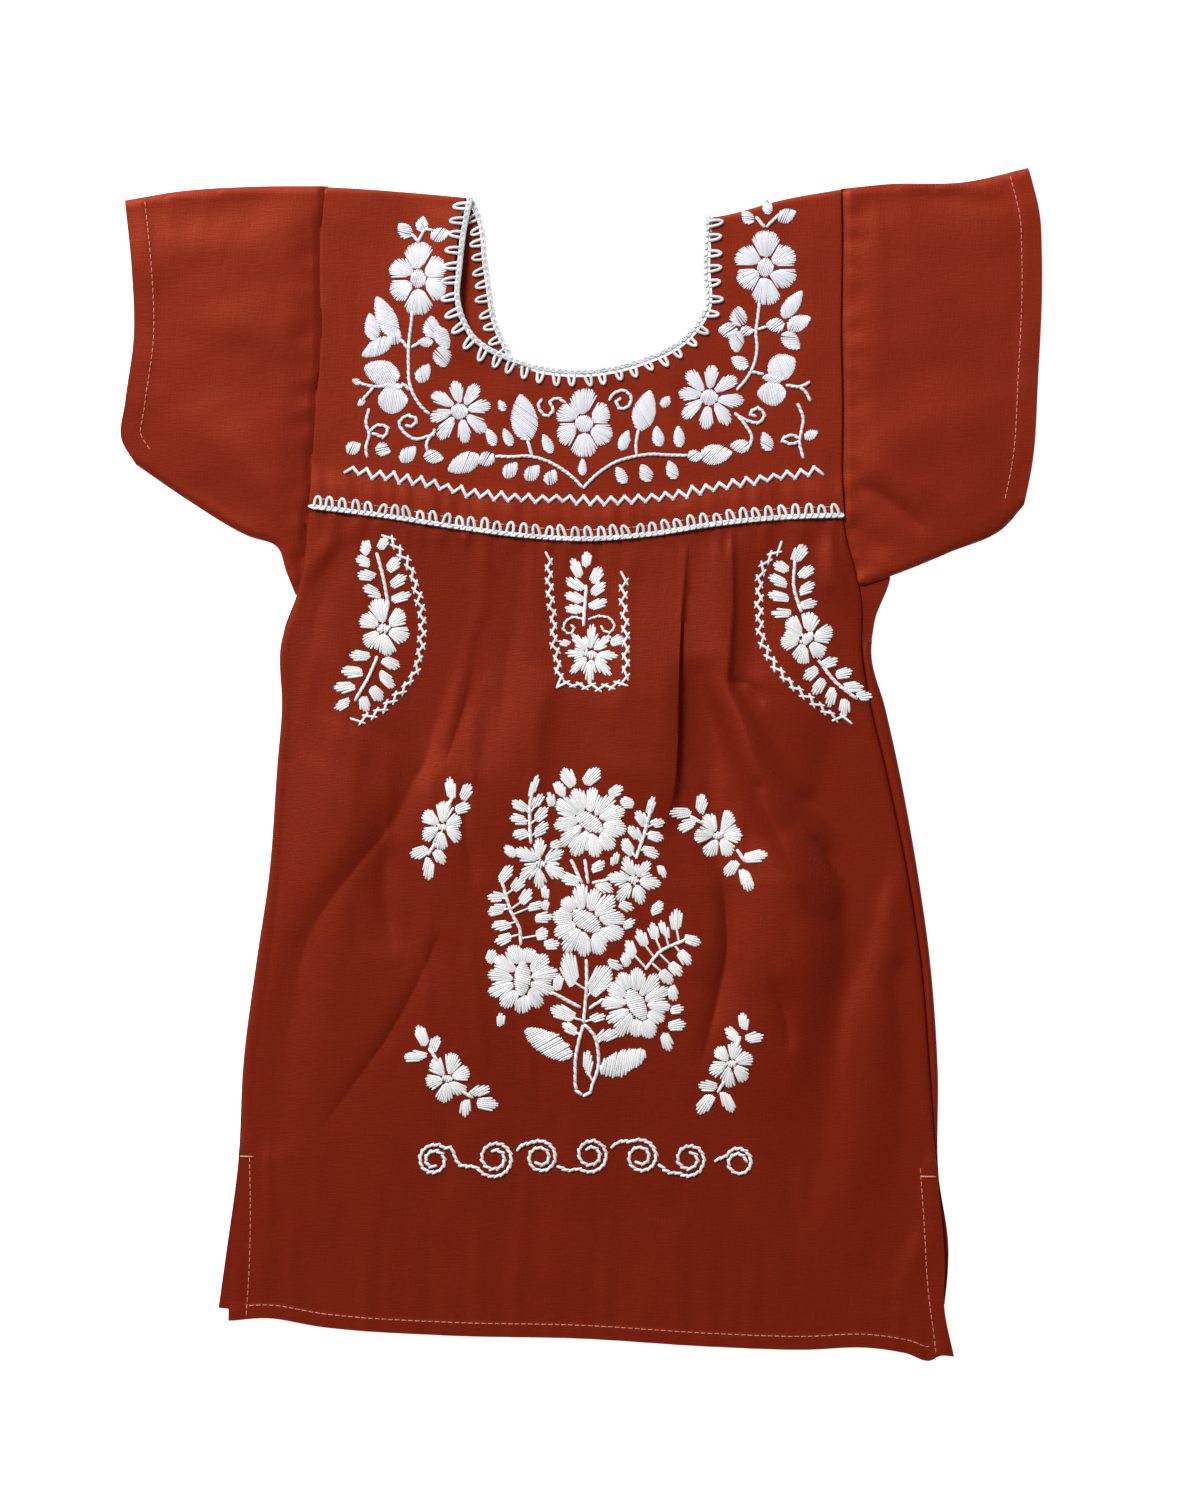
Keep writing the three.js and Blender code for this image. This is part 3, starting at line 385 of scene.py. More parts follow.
# The butterflies at the sides: wings, bodies and the knots at the ends of their feelers.
YOKE_WINGS = table(
    LEAF,
    (-89.8, 176, 16.4, 12, 163), (-84.8, 163.8, 13.4, 13, 0), (90.2, 178.8, 13.4, 12.4, 30),
    (85.6, 166.6, 12.8, 11.6, 180),
)
YOKE_BODIES = table(
    LEAF,
    (-84.9, 169.9, 8.8, 5, 0), (86.4, 173.7, 10, 5.6, 180), (-101.2, 171.9, 4.2, 3.4, 160),
    (-98.9, 162.6, 4.2, 3.6, 230),
)
# Stems, tendrils and feelers of the yoke, and the zigzag above its lower edge.
YOKE_STEMS = [
    [(-73.1, 234.6), (-76.4, 238.6)], [(-73.6, 234.9), (-69.4, 240.4), (-66.7, 239.6)],
    [(82.4, 241.3), (78.5, 246.3)], [(83.2, 241.6), (88.8, 247.1)],
    [(-76.2, 203.7), (-76.5, 199), (-77.5, 191), (-77.8, 186.3), (-77.8, 178.4), (-77.5, 172.1),
     (-75.4, 165.8), (-72.2, 161), (-68.3, 157.1)],
    [(80.1, 207.6), (79.3, 200.5), (78.5, 194.2), (79, 187.9), (77.7, 180), (74.5, 173.7), (69.8, 168.2)],
    [(-81.2, 191.2), (-77.8, 186.3)], [(83.2, 196.6), (79.2, 195.6)], [(-72.6, 189.4), (-76.6, 187.6)],
    [(76.4, 195), (78.8, 194.6)], [(-81, 171), (-79.6, 170.4), (-77.5, 167.8)],
    [(76.4, 176.6), (82.2, 175.2)], [(-88.8, 169.8), (-94, 169.9), (-101.4, 171.8)],
    [(-93.6, 169.4), (-99.1, 163)], [(91.9, 170.5), (98.2, 169.8), (103, 171.8)],
    [(98.2, 169.8), (101.4, 166.6), (103, 163)],
    [(-95.6, 159.8), (-96.9, 153.2), (-95.6, 148.4), (-96.9, 142.1), (-96.5, 137.7)],
    [(-95.6, 149.6), (-91.4, 152.4), (-87.4, 151.2), (-88.6, 147.6), (-94.6, 149)],
    [(-66.2, 150.8), (-66.6, 148.6), (-69.6, 147.3), (-74.6, 146.2), (-79.6, 149), (-81.9, 153.4),
     (-78.4, 156.6), (-74.4, 154.6), (-77, 151.8), (-79.4, 152.8)],
    [(-66.9, 149), (-69.6, 143.9), (-69.4, 140.4)],
    [(97.4, 162.3), (99.8, 154.8), (99, 150), (98.2, 145.3), (99.8, 137.4)],
    [(98.7, 146.1), (94.3, 147.9), (90.6, 145.8), (94.3, 144.1), (98.2, 145.1)],
    [(69, 158.2), (73.8, 152.4), (76.6, 146.9), (75.6, 142.6)],
    [(69.8, 157.1), (74.5, 154.6), (80.1, 153.8), (82.2, 157.1), (79.3, 160), (76.2, 157.8), (79, 155.9)],
    [(-38.8, 138.5), (-32, 138.2), (-24.1, 138.5), (-16.2, 136.6), (-8.3, 132.3), (-2.8, 127.9),
     (0.7, 124)],
    [(0.7, 124), (4.3, 127.9), (9, 131.9), (15.4, 135.8), (23.2, 138.2), (31.1, 139.3), (39, 139),
     (48, 138.7)],
    [(-24.1, 145.4), (-22.3, 138.6)], [(25.7, 150.4), (24.6, 144), (24.8, 138.6)],
    [(-7.1, 162.3), (-10.7, 164.4), (-14, 163), (-12.9, 159.2), (-15.4, 156.7), (-18.4, 158.9),
     (-19.2, 162), (-17.4, 164.2)],
    [(12.2, 163.4), (14.6, 166.6), (19.3, 167.9), (22.3, 165), (20.9, 160.9), (17.4, 160.1), (15.9, 162.9),
     (18.2, 164.7)],
]
YOKE_ZIGZAG = [
    (-106, 132.5), (-75, 127.5), (-41, 120.5), (-16, 119.5), (1, 118.5), (31, 119.5), (63, 125), (108, 132.5),
]
# The motifs of the front, in the order in which they are worked.
MOTIFS = {
    "crescent_left": motif(
        flowers=table(FLOWER, (-89, 61, 22.4, 24.4, 6, 98, 5.6, 4.4, 20, "blunt")),
        stems=[[(-86.8, 70.5), (-89.1, 83.3), (-92.1, 94.9)], [(-91.7, 48.4), (-96, 38.6), (-101.9, 28.2)]],
        leaves=table(
            LEAF,
            (-97.1, 97.4, 6, 5.5, 120), (-98.4, 91.2, 7, 5, 160), (-96.9, 84.8, 8, 5, 165),
            (-94.4, 77.6, 8.6, 5, 160), (-89.2, 99.3, 6.6, 4.4, 60), (-84.6, 89.8, 7.6, 5.4, 45),
            (-82.3, 82.4, 8.4, 5, 35), (-81.2, 75, 9.4, 4.4, 20), (-99.8, 48.6, 9.6, 4.8, 175),
            (-103.2, 41.4, 9.8, 5.4, 180), (-106.6, 34.4, 9.4, 5, 190), (-107.4, 26.6, 7.6, 4.6, 205),
            (-85.7, 45.2, 8.6, 5.4, -30), (-87.5, 37.7, 9.2, 5.2, -40), (-92.1, 31.5, 8, 5.4, -50),
            (-97.4, 26.8, 7.4, 4.8, -75)),
        herringbone=[
            [(-87.7, 102.9), (-80.5, 94), (-76.1, 85.1), (-73.4, 74.4), (-71.6, 62), (-72.5, 51.3),
             (-75.2, 40.6), (-80.5, 33.5), (-88.5, 25.5), (-95.7, 21), (-101.9, 18.9)]]),
    "crescent_right": motif(
        flowers=table(FLOWER, (101.3, 56.5, 24.8, 23, 6, 74, 6.4, 5, 40, "blunt")),
        stems=[[(98.8, 68.2), (95.6, 79.8), (96, 91.3)], [(106.7, 46.7), (113.4, 37.9), (124.1, 29)]],
        leaves=table(
            LEAF,
            (89.7, 88.7, 7.6, 4.8, 150), (88.3, 82.4, 9, 5, 160), (88.5, 75.3, 10, 4.4, 170),
            (89.7, 67.8, 9.6, 4.2, 178), (98.1, 94.8, 9, 6, 60), (101.2, 86.4, 8, 5, 40),
            (101.6, 79.1, 8, 4.8, 25), (102.2, 71.9, 8, 4.4, 15), (111.8, 45.8, 7.6, 4.8, 25),
            (118.1, 40.8, 8, 4.8, 15), (122.6, 34.6, 8.6, 5.2, 5), (127.2, 30.6, 6.6, 4.6, 10),
            (103.1, 40.6, 8, 5, 215), (106.7, 34.7, 8.6, 5, 235), (112.2, 29.9, 8.8, 5, 250),
            (118.4, 25.5, 7.8, 5, 265)),
        herringbone=[
            [(90.3, 97.6), (84.9, 93.1), (81, 86.9), (80, 78), (80, 67.3), (81, 56.6), (84.9, 47.7),
             (91.2, 38.8), (99.2, 31.7), (107.2, 25.5), (114.3, 21), (120.5, 20.1)]]),
    "centre": motif(
        flowers=table(FLOWER, (4.2, 49.4, 23.6, 26, 8, 87, 4.6, 4.4, 0, "star")),
        stems=[[(0.8, 62), (1.3, 68), (2.2, 80.6)]],
        leaves=table(
            LEAF,
            (-2.4, 88.2, 9.4, 4.6, 115), (6.9, 85.1, 8.4, 5, 60), (7.7, 78.9, 8.4, 4.8, 40),
            (7.5, 72, 8.8, 4.6, 25), (2.4, 92.2, 7, 4.4, 85), (-3, 81, 9.4, 4.8, 145),
            (-3.2, 75, 9.2, 4.8, 152), (-3.2, 69.6, 8, 4.6, 160), (-7.9, 54.5, 5.4, 3.2, 160),
            (16.1, 55.4, 6.4, 4.6, 20)),
        herringbone=[
            [(-14.7, 94), (-14.7, 85.1), (-14.2, 76.2), (-12.9, 67.3), (-12.6, 56.6), (-10.6, 45.9),
             (-9.7, 36.2)],
            [(-9.7, 36.2), (-0.5, 35.3), (10.2, 34.4), (19.1, 36.2)],
            [(19.1, 85.1), (18.8, 74.4), (19.5, 63.7), (20, 53.1), (20, 42.4), (19.1, 36.2)]],
        curls=[
            [(0.4, 65.2), (-4, 65.9), (-7.2, 63.7), (-7.9, 60.5), (-4.9, 58.8), (-3.5, 61.1), (-4.9, 62.9)],
            [(3.1, 65.2), (8.4, 66.4), (12.9, 65.2), (14.7, 62), (12.9, 59.3), (9.9, 60.2), (8.8, 62.3)]]),
    "sprig_upper_left": motif(
        flowers=table(FLOWER, (-62.6, -28.4, 18.8, 22.4, 6, 85, 3.6, 3.6, 0, "blunt")),
        stems=[[(-60.4, -20), (-57.4, -14)], [(-65.6, -35.6), (-69, -41)]],
        leaves=table(
            LEAF,
            (-58.7, -10.8, 10, 4.8, 95), (-51.7, -12.5, 8, 5, 60), (-53.3, -19.8, 7.4, 5, 20),
            (-72.8, -39.8, 9, 5.6, 205), (-63.6, -41.8, 7.6, 5, -60), (-68.6, -47.3, 9.6, 5.6, -100))),
    "sprig_upper_right": motif(
        flowers=table(FLOWER, (61.5, -32.2, 21.4, 22.8, 6, 60, 4, 3.6, 0, "blunt")),
        stems=[[(54.6, -27), (49, -23.4)], [(70, -38.4), (73.4, -44)]],
        leaves=table(
            LEAF,
            (44.3, -22.1, 10, 5, 185), (47.2, -27.6, 8.8, 5, 200), (54, -17.8, 8.6, 5.4, 75),
            (78.1, -41.5, 11, 5.4, 10), (67.3, -47, 8.4, 5.4, 235), (74, -52.2, 10.4, 5.8, -75))),
    "sprig_lower_left": motif(
        flowers=table(FLOWER, (-60.2, -141.2, 21, 22.2, 6, 75, 4.2, 3.6, 0, "blunt")),
        stems=[[(-64.6, -133.6), (-68.4, -127.6)], [(-53.6, -147), (-48.8, -150.2)]],
        leaves=table(
            LEAF,
            (-71.8, -122, 9.8, 5.4, 115), (-65.8, -125.8, 8, 4.6, 70), (-74.9, -131.4, 9.8, 5.2, 175),
            (-45.4, -146.8, 8.4, 5, 30), (-42.3, -152.8, 10, 6, -5), (-52.1, -154.7, 8, 5, -90))),
    "sprig_lower_right": motif(
        flowers=table(FLOWER, (67.2, -134.6, 19.6, 21, 6, 80, 4, 3.6, 0, "blunt")),
        stems=[[(69.6, -127.6), (71.4, -122)], [(64.4, -142.4), (61, -147.6)]],
        leaves=table(
            LEAF,
            (72.8, -115.4, 7.8, 4.6, 90), (67.4, -121.3, 8, 5, 145), (77.6, -122.8, 8, 5, 15),
            (56.7, -144.7, 8.4, 5, 170), (55.6, -152.9, 10.6, 6, 235), (65.7, -152, 10, 5.2, -70))),
    "bouquet": motif(
        tied=True,
        flowers=table(
            FLOWER,
            (3.7, -26.1, 33.6, 31.6, 11, 84, 12.6, 7.4, -35, "round"),
            (2.3, -70.5, 33, 32, 11, 70, 13.4, 8.4, -35, "round"),
            (-26.6, -96.4, 31.6, 31, 11, 75, 14, 7.4, 88, "round"),
            (24.8, -108.1, 31, 32, 12, 88, 14, 7.6, -62, "round"),
            (-18.4, -44.7, 24.5, 24, 6, 30, 4, 4, 0, "star"),
            (23.7, -52.3, 23.5, 24, 6, 50, 4, 4, 0, "star")),
        stems=[
            [(1.6, -42.9), (3, -54)], [(-4.6, -42.9), (0.2, -53.7)], [(4.8, -53.3), (12.6, -51.9)],
            [(2.3, -87.6), (2.3, -99.4), (1.6, -109.1), (0.9, -116.3)], [(-13.4, -102.4), (-0.5, -109.4)],
            [(9.9, -105.6), (3.3, -109.8)],
            [(0.9, -117), (-1.1, -124.2), (-2.5, -131.1), (-2.8, -138), (-1.1, -147.7), (0.6, -148.8)],
            [(1.2, -116.6), (5.8, -122.2), (7.4, -128.4), (7.4, -136.6), (5.1, -143.5), (3.3, -147.9),
             (0.4, -149)],
            [(-22.8, -35.6), (-23.2, -26), (-22.9, -16.8), (-22, -12.6)],
            [(24.4, -42.6), (28.5, -30.5), (31.9, -16.8)],
            [(-35.6, -53), (-31.5, -66.4), (-27.6, -74.6), (-27.3, -81.4)],
            [(28.5, -92.5), (35.4, -84.3), (46.6, -79)]],
        leaves=table(
            LEAF,
            # ferns
            (-21.2, -9.6, 9.6, 3.4, 75), (-27.8, -18.7, 8, 4.8, 148), (-28.4, -25, 8, 4.8, 172),
            (-27.4, -31.6, 7.4, 5, 195), (-19.7, -16.5, 7.4, 4.2, 65), (-17.9, -22.5, 8, 4.6, 45),
            (-17.9, -29.2, 8.2, 4.8, 32), (31.2, -18.4, 8.6, 3.6, 75), (26.8, -24.4, 8.6, 4.8, 122),
            (23.7, -30.7, 7.6, 5, 125), (20.6, -37.2, 8, 5.2, 130), (34.3, -26.5, 5.8, 4.4, 20),
            (33.2, -32.6, 7.4, 4.6, -15), (31.2, -39.7, 8, 5, -15), (-33.9, -49.4, 9.4, 4.8, 50),
            (-28.3, -54, 8, 5, 45), (-24.9, -59.5, 8, 5, 50), (-20.2, -63.7, 8.4, 4, 15),
            (-16.9, -69.1, 8.2, 4.6, 5), (-17.7, -76.3, 6, 5.4, 20), (-38.5, -59.7, 7.4, 4.6, 175),
            (-38, -65.5, 8, 5.4, 185), (-36.1, -72.6, 8.4, 5, 192), (-35.1, -78.8, 8, 4.8, 200),
            (49.9, -79.3, 8, 4.6, -15), (27, -78.1, 8.6, 4.8, 115), (32.4, -75, 8, 4.6, 105),
            (37.2, -74, 7.6, 4.2, 102), (42.5, -69.8, 9.6, 5.8, 92), (46.4, -87, 8, 5, -48),
            (42.3, -92.2, 8, 5, -42), (38.1, -95.7, 8.2, 5.2, -48), (22, -82.9, 8.6, 4.6, 120),
            (19.9, -87.7, 6.4, 4.6, 110), (15.2, -90.3, 7.4, 4, -20),
            # below the big flowers
            (-5.3, -91.9, 15, 8, 108), (8.4, -97.2, 15, 9.4, 52), (-8.4, -111.8, 12, 6.6, 155),
            (7.4, -113.9, 7, 4, 20), (-5.4, -118.7, 8, 4.6, 150), (11.7, -121.8, 9, 6, 35),
            (3, -133.9, 10, 4.8, 80)),
        loose=table(
            LEAF,
            (-6, -6.1, 9.6, 6.4, 125), (4.8, -5.5, 9.6, 6.4, 48), (-9.7, -11.2, 7, 5.2, 100),
            (-13.8, -15.8, 6.8, 4, 105), (15.4, -12.1, 7.2, 4.8, 30), (20.4, -17.5, 6.4, 5.2, 170),
            (-32.1, -39.1, 6.8, 4.6, 130), (-11.2, -36.1, 6, 3.6, 15), (-5.3, -51.9, 8.6, 5.2, 165),
            (15.1, -42.5, 6, 3.8, 80), (7.6, -46, 7, 4.6, 25), (10.4, -55.3, 8.6, 5, -30),
            (-16.3, -57.4, 6.4, 3.6, 95), (-16.3, -63.2, 5.2, 3.6, 80), (20.2, -64, 7.2, 4.2, -25),
            (34.1, -64.7, 6.8, 5.2, 30), (36.3, -48.4, 6.4, 3.4, -70), (21.5, -71.8, 6, 4, 25),
            (-10.4, -98, 7.8, 4.6, 80), (-13.3, -81, 7, 5, 10), (-40.3, -86.3, 6.4, 5, 60),
            (-36.2, -114.6, 6.4, 4, 90), (41.2, -103, 7, 4.8, -70), (43, -110.2, 6.4, 4.2, 10),
            (42.9, -117.3, 8.2, 5, 10), (38.3, -124.9, 8.6, 5, -70)),
        big_leaves=table(LEAF, (-14.9, -125.6, 24.5, 11.5, 150), (18.6, -133.9, 22.5, 11.5, 22))),
}
# Scrolls above the hem: where each is entered, its middle, and how it winds from its outer to its inner end.
SCROLLS = table(
    "lead x y outer inner start turns",
    ([(-58.2, -172.4)], -66.4, -178.2, 7.4, 2.6, 50, 1.7),
    ([(-58.6, -172.2), (-54.6, -180)], -39, -177.2, 9.0, 3.2, 212, 1.75),
    ([(-29.4, -173.8), (-26.4, -171.4)], -18.4, -177, 7.8, 2.6, 118, -1.75),
    ([(-11, -180.4), (-6.6, -182.6)], 4.2, -175.6, 8.2, 2.8, 235, 1.75),
    ([(12.8, -172.6), (17.6, -169.8)], 26.6, -176.8, 8.2, 2.4, 118, -1.75),
    ([(34.6, -179.6), (39.4, -183.6)], 48.4, -177.6, 8.0, 2.8, 235, 1.6),
    ([(59.4, -178.4), (64.2, -176.6)], 70.6, -179.2, 6.4, 3.2, 100, -1.3),
)
# Machine stitching round the slits, and the bars at their tops, from their left ends to their right ones.
SEWING_PITCH = 3.0
SEWING_WIDTH = 0.42
SLIT_STITCHING = [
    [(-149.3, -177), (-149, -204), (-149.5, -226), (-151, -250)],
    [(152.5, -182), (154, -203.6), (156.1, -238), (158.8, -259), (159.6, -266)],
]
SLIT_BARS = [(-153.6, -176.5), (152.6, -185.7)], [(-147.6, -176.7), (159.4, -185.7)]
# Size to which each piece of cloth was cut before it was pleated and sewn, in metres and square metres, what
# it lies on and what is sewn to it.
SHEETS = {
    "back_cloth": SimpleNamespace(flat=(0.345, 0.380), area=0.118, on=["studio_floor"], sewn=[]),
    "front_cloth": SimpleNamespace(
        flat=(0.345, 0.392), area=0.119, on=["back_cloth"],
        sewn=[*(f"embroidery_{name}" for name in (*MOTIFS, "scrolls")), "topstitching_front"]),
    "yoke_cloth": SimpleNamespace(
        flat=(0.241, 0.300), area=0.0555, on=["front_cloth", "studio_floor"],
        sewn=["yoke_flowers", "yoke_leaves", "yoke_stems", "crochet_neck", "crochet_yoke",
              "topstitching_yoke"]),
    **{f"sleeve_{side}_cloth": SimpleNamespace(
        flat=(0.36, 0.090), area=0.028, on=["studio_floor"], sewn=[f"topstitching_{side}_cuff"])
       for side in SLEEVES},
}


# ---- curves and reliefs --------------------------------------------------------------------------

def hermite(at, values, where):
    """Smooth values at the places where, through the given values at the rising places at."""
    at = np.asarray(at, float)
    values = np.asarray(values, float)
    where = np.asarray(where, float)
    slopes = np.gradient(values, at, axis=0)
    i = np.clip(np.searchsorted(at, where) - 1, 0, len(at) - 2)
    step = at[i + 1] - at[i]
    f = np.clip((where - at[i]) / step, 0, 1)
    if values.ndim > 1:
        step = step[..., None]
        f = f[..., None]
    near = (2 * f**3 - 3 * f**2 + 1) * values[i] + (f**3 - 2 * f**2 + f) * step * slopes[i]
    far = (3 * f**2 - 2 * f**3) * values[i + 1] + (f**3 - f**2) * step * slopes[i + 1]
    return near + far


def lengths(points):
    """Length along a line of plan points at each of them."""
    steps = np.hypot(*np.diff(np.asarray(points)[:, :2], axis=0).T)
    return np.concatenate([[0.0], np.cumsum(steps)])


def curve(points, step=2.0):
    """Rows about a step apart along a smooth line through the given rows, which start with x and y."""
    rows = np.asarray(points, float)
    along = lengths(rows)
    count = max(2, math.ceil(along[-1] / step) + 1)
    return hermite(along, rows, np.linspace(0, along[-1], count))


def ease(f):
    """0 below 0, 1 above 1 and smooth between."""
    f = np.clip(f, 0, 1)
    return f * f * (3 - 2 * f)


def pointing(turn):
    """Unit plan direction at an angle, in radians."""
    return np.array([math.cos(turn), math.sin(turn)])


def headings(line):
    """Unit direction of a plan line at each of its points."""
    run = np.gradient(np.asarray(line, float)[:, :2], axis=0)
    return run / np.maximum(np.linalg.norm(run, axis=1, keepdims=True), 1e-9)


def left_of(run):
    """The direction a quarter turn to the left of each plan direction."""
    return np.stack([-run[..., 1], run[..., 0]], axis=-1)


def nearest(plan, line, reach):
    """For the plan points within reach of a line: which they are, where along the line's rows the nearest
    point lies, how far to the left of the line they are, and how far past its ends."""
    low = line[:, :2].min(axis=0) - reach
    high = line[:, :2].max(axis=0) + reach
    close = np.flatnonzero(((plan > low) & (plan < high)).all(axis=1))
    steps = np.diff(line[:, :2], axis=0)
    away = plan[close, None, :] - line[None, :-1, :2]
    share = np.clip((away * steps).sum(axis=2) / (steps**2).sum(axis=1), 0, 1)
    away -= share[..., None] * steps
    at = (away**2).sum(axis=2).argmin(axis=1)
    here = np.arange(len(close))
    away, place = away[here, at], at + share[here, at]
    run = steps[at] / np.linalg.norm(steps[at], axis=1, keepdims=True)
    side = (away * left_of(run)).sum(axis=1)
    ended = (place == 0) | (place == len(steps))
    side = np.where(ended, side, np.copysign(np.linalg.norm(away, axis=1), side))
    return close, place, side, np.where(ended, (away * run).sum(axis=1), 0.0)


def distance(plan, line, reach):
    """Distance of plan points from a line, or reach where it is more."""
    found = np.full(len(plan), float(reach))
    close, _, side, past = nearest(plan, line, reach)
    found[close] = np.minimum(np.hypot(side, past), reach)
    return found


def fold_relief(plan, folds):
    """Height that the folds give to plan points."""
    total = np.zeros(len(plan))
    for power, rows in folds.values():
        line = curve(rows, 1.5)
        faded = 6 ** (1 / power) * line[:, 3:].max()        # where nothing is left of the fold's height
        close, place, side, past = nearest(plan, line, faded)
        numbers = np.arange(len(line))
        height, west, east = (np.interp(place, numbers, line[:, i]) for i in (2, 3, 4))
        across = np.abs(side) / np.where(side > 0, east, west)
        fade = ease((np.minimum(place, len(line) - 1 - place) + 2) / 8)
        total[close] += height * fade * np.exp(-(across**power) - (past / 3) ** 2)
    return total


def swells(plan, seed, count, short, long, upright):
    """Gentle uneven waves, with a typical height of one. Those that are upright run down the dress."""
    random = np.random.default_rng(seed)
    total = np.zeros(len(plan))
    for _ in range(count):
        turn = random.normal(0, 1.2 - upright) + random.choice([0, math.pi])
        wave = 2 * math.pi / random.uniform(short, long)
        total += np.sin(plan @ pointing(turn) * wave + random.uniform(0, 2 * math.pi))
    return total / math.sqrt(count)


def creases(plan, seed, spacing):
    """Fine creases that come and go along the level lines of gentle waves, with heights up to about one."""
    level = swells(plan * [1, 0.6], seed, 9, spacing, 2.4 * spacing, 0.7)
    strength = np.clip(swells(plan, seed + 1, 7, 50, 120, 0.4), 0, 1.2)
    return strength * np.exp(-((level / 0.4) ** 2))


def crumple(plan, seed, height):
    """Fine ridges and furrows strewn over cloth that has been folded away."""
    return height * creases(plan, seed, 26) - height * creases(plan, seed + 2, 30)


def lift(plan, seed, short, long, upright, height):
    """The uneven lift of cloth that lies on the floor, which is between nothing and twice the height."""
    return height * (1 + np.clip(swells(plan, seed, 8, short, long, upright), -1, 1))


def rounding(plan, line, radius, drop):
    """How far cloth comes down in a quarter round as it nears a folded edge."""
    f = 1 - distance(plan, line, radius) / radius
    return drop * (1 - np.sqrt(np.clip(1 - f * f, 0, 1)))


def yoke_lower(x):
    """Where the lower edge of the yoke runs, as y at x."""
    return hermite(column(YOKE_ENDS, "x"), column(YOKE_ENDS, "lower"), x)


def shoulder(x):
    """Where the shoulder fold runs, as y at x."""
    return hermite(column(YOKE_ENDS, "x"), column(YOKE_ENDS, "shoulder"), x)


def shoulder_line(start, end, count):
    """Plan points of the shoulder fold between two values of x."""
    x = np.linspace(start, end, count)
    return np.stack([x, shoulder(x)], axis=1)


def yoke_edge(x):
    """Plan points of the lower edge of the yoke."""
    return np.stack([x, yoke_lower(x)], axis=1)


# Smooth edges that several pieces share.
FRONT_SIDES = {"left": curve(FRONT_LEFT), "right": curve(FRONT_RIGHT)}
FRONT_FOOT = curve(FRONT_HEM)
SLIT_TOPS = {"left": -176.0, "right": -185.0}
SLEEVE_EDGES = {side: SimpleNamespace(**{name: curve(points) for name, points in vars(edges).items()})
                for side, edges in SLEEVES.items()}
SHOULDER_FOLD = shoulder_line(YOKE_ENDS[0].x, YOKE_ENDS[-1].x, 60)
FRONT_LEAST = 2.2                # the front never sinks below this, because the back lies under it
FRONT_TOP = 2.5                  # how far below the edge of the yoke the front's own relief starts


def front_top(plan):
    """Height of the outside of the front over plan points."""
    x, y = plan[:, 0], plan[:, 1]
    below = yoke_lower(x) - FRONT_TOP - y
    sides = np.minimum(*(distance(plan, line, 60) for line in FRONT_SIDES.values()))
    hem = distance(plan, FRONT_FOOT, 150)
    calm = ease((sides - 2) / 12) * ease((hem - 2) / 30)
    loft = 5.5 * ease(sides / 38) * ease(hem / 240) * ease(below / 120)
    drape = 0.26 * swells(plan, 5, 9, 40, 90, 1.1) + 0.04 * swells(plan, 6, 10, 12, 26, 0.6)
    drape += crumple(plan, 25, 0.4)
    gathers = sum(row.height * np.exp(-(((x - row.x) / 2.6) ** 2)) * (1 - ease(below / row.length))
                  for row in GATHERS) * ease(below / 4)
    at_yoke = swells(plan * [1, 0.28], 15, 12, 5, 13, 1.1)
    at_hem = swells(plan * [1, 0.3], 17, 10, 8, 24, 1.1)
    puckers = 0.55 * at_yoke * ease(below / 2) * (1 - ease((below - 3) / 16))
    puckers += 0.2 * at_hem * ease(below / 200) * (1 - ease((hem - 8) / 60))
    folds = loft + fold_relief(plan, FRONT_FOLDS) * (0.4 + 0.6 * calm) + drape * calm
    above = STACK + puckers + ease(below / 10) * folds + gathers - FRONT_LEAST
    softly = (above + np.sqrt(above**2 + 0.3)) / 2 - 0.2            # above 0, and smooth where it stops
    return FRONT_LEAST + softly - front_edges(plan, sides, hem)


def turned(away, width):
    """How far a turned edge of some width stands up, at distances from the edge."""
    return HEM_RISE * ease((width + 0.6 - away) / 0.8)


def front_edges(plan, sides, hem):
    """How far the front comes down at its side seams, less what its turned hem and slits stand up."""
    y = plan[:, 1]
    drop = np.zeros(len(plan))
    for side, depth in (("left", FOLD_RISE), ("right", 1.0)):
        line, slit_top = FRONT_SIDES[side], SLIT_TOPS[side]
        seam = line[line[:, 1] > slit_top]
        drop += rounding(plan, seam, 3.0, depth) * ease((y - slit_top) / 10)
        slit = line[line[:, 1] < slit_top + 4]
        drop -= turned(distance(plan, slit, 12), HEM_WIDTH)
    return drop - turned(hem, HEM_WIDTH) * (sides > 1)


def yoke_top(plan):
    """Height of the outside of the front of the yoke over plan points."""
    above = plan[:, 1] - yoke_lower(plan[:, 0])
    climb = 1 - ease((above - LAP) / LAP_SLOPE)
    drop = rounding(plan, SHOULDER_FOLD, EDGE_ROUND, FOLD_RISE)
    for edges in SLEEVE_EDGES.values():
        drop = np.maximum(drop, rounding(plan, edges.armhole, 1.2, 0.3))
    waves = 0.16 * swells(plan, 8, 9, 30, 70, 0.6) + 0.05 * swells(plan, 9, 10, 10, 22, 0.4)
    waves += crumple(plan, 35, 0.12)
    waves += 0.2 * swells(plan * [1, 0.3], 16, 12, 6, 14, 1.1) * (1 - ease((above - 8) / 16))
    return STACK + LAP_RISE * climb + fold_relief(plan, YOKE_FOLDS) + waves - drop


def sleeve_folded(side, plan, depth):
    """Distance of plan points from the folded edges of a sleeve, and how far its cloth comes down there."""
    lines = (SLEEVE_EDGES[side].top, SLEEVE_EDGES[side].lower)
    away = np.minimum(*(distance(plan, line, 40) for line in lines))
    return away, np.maximum(*(rounding(plan, line, EDGE_ROUND, depth) for line in lines))


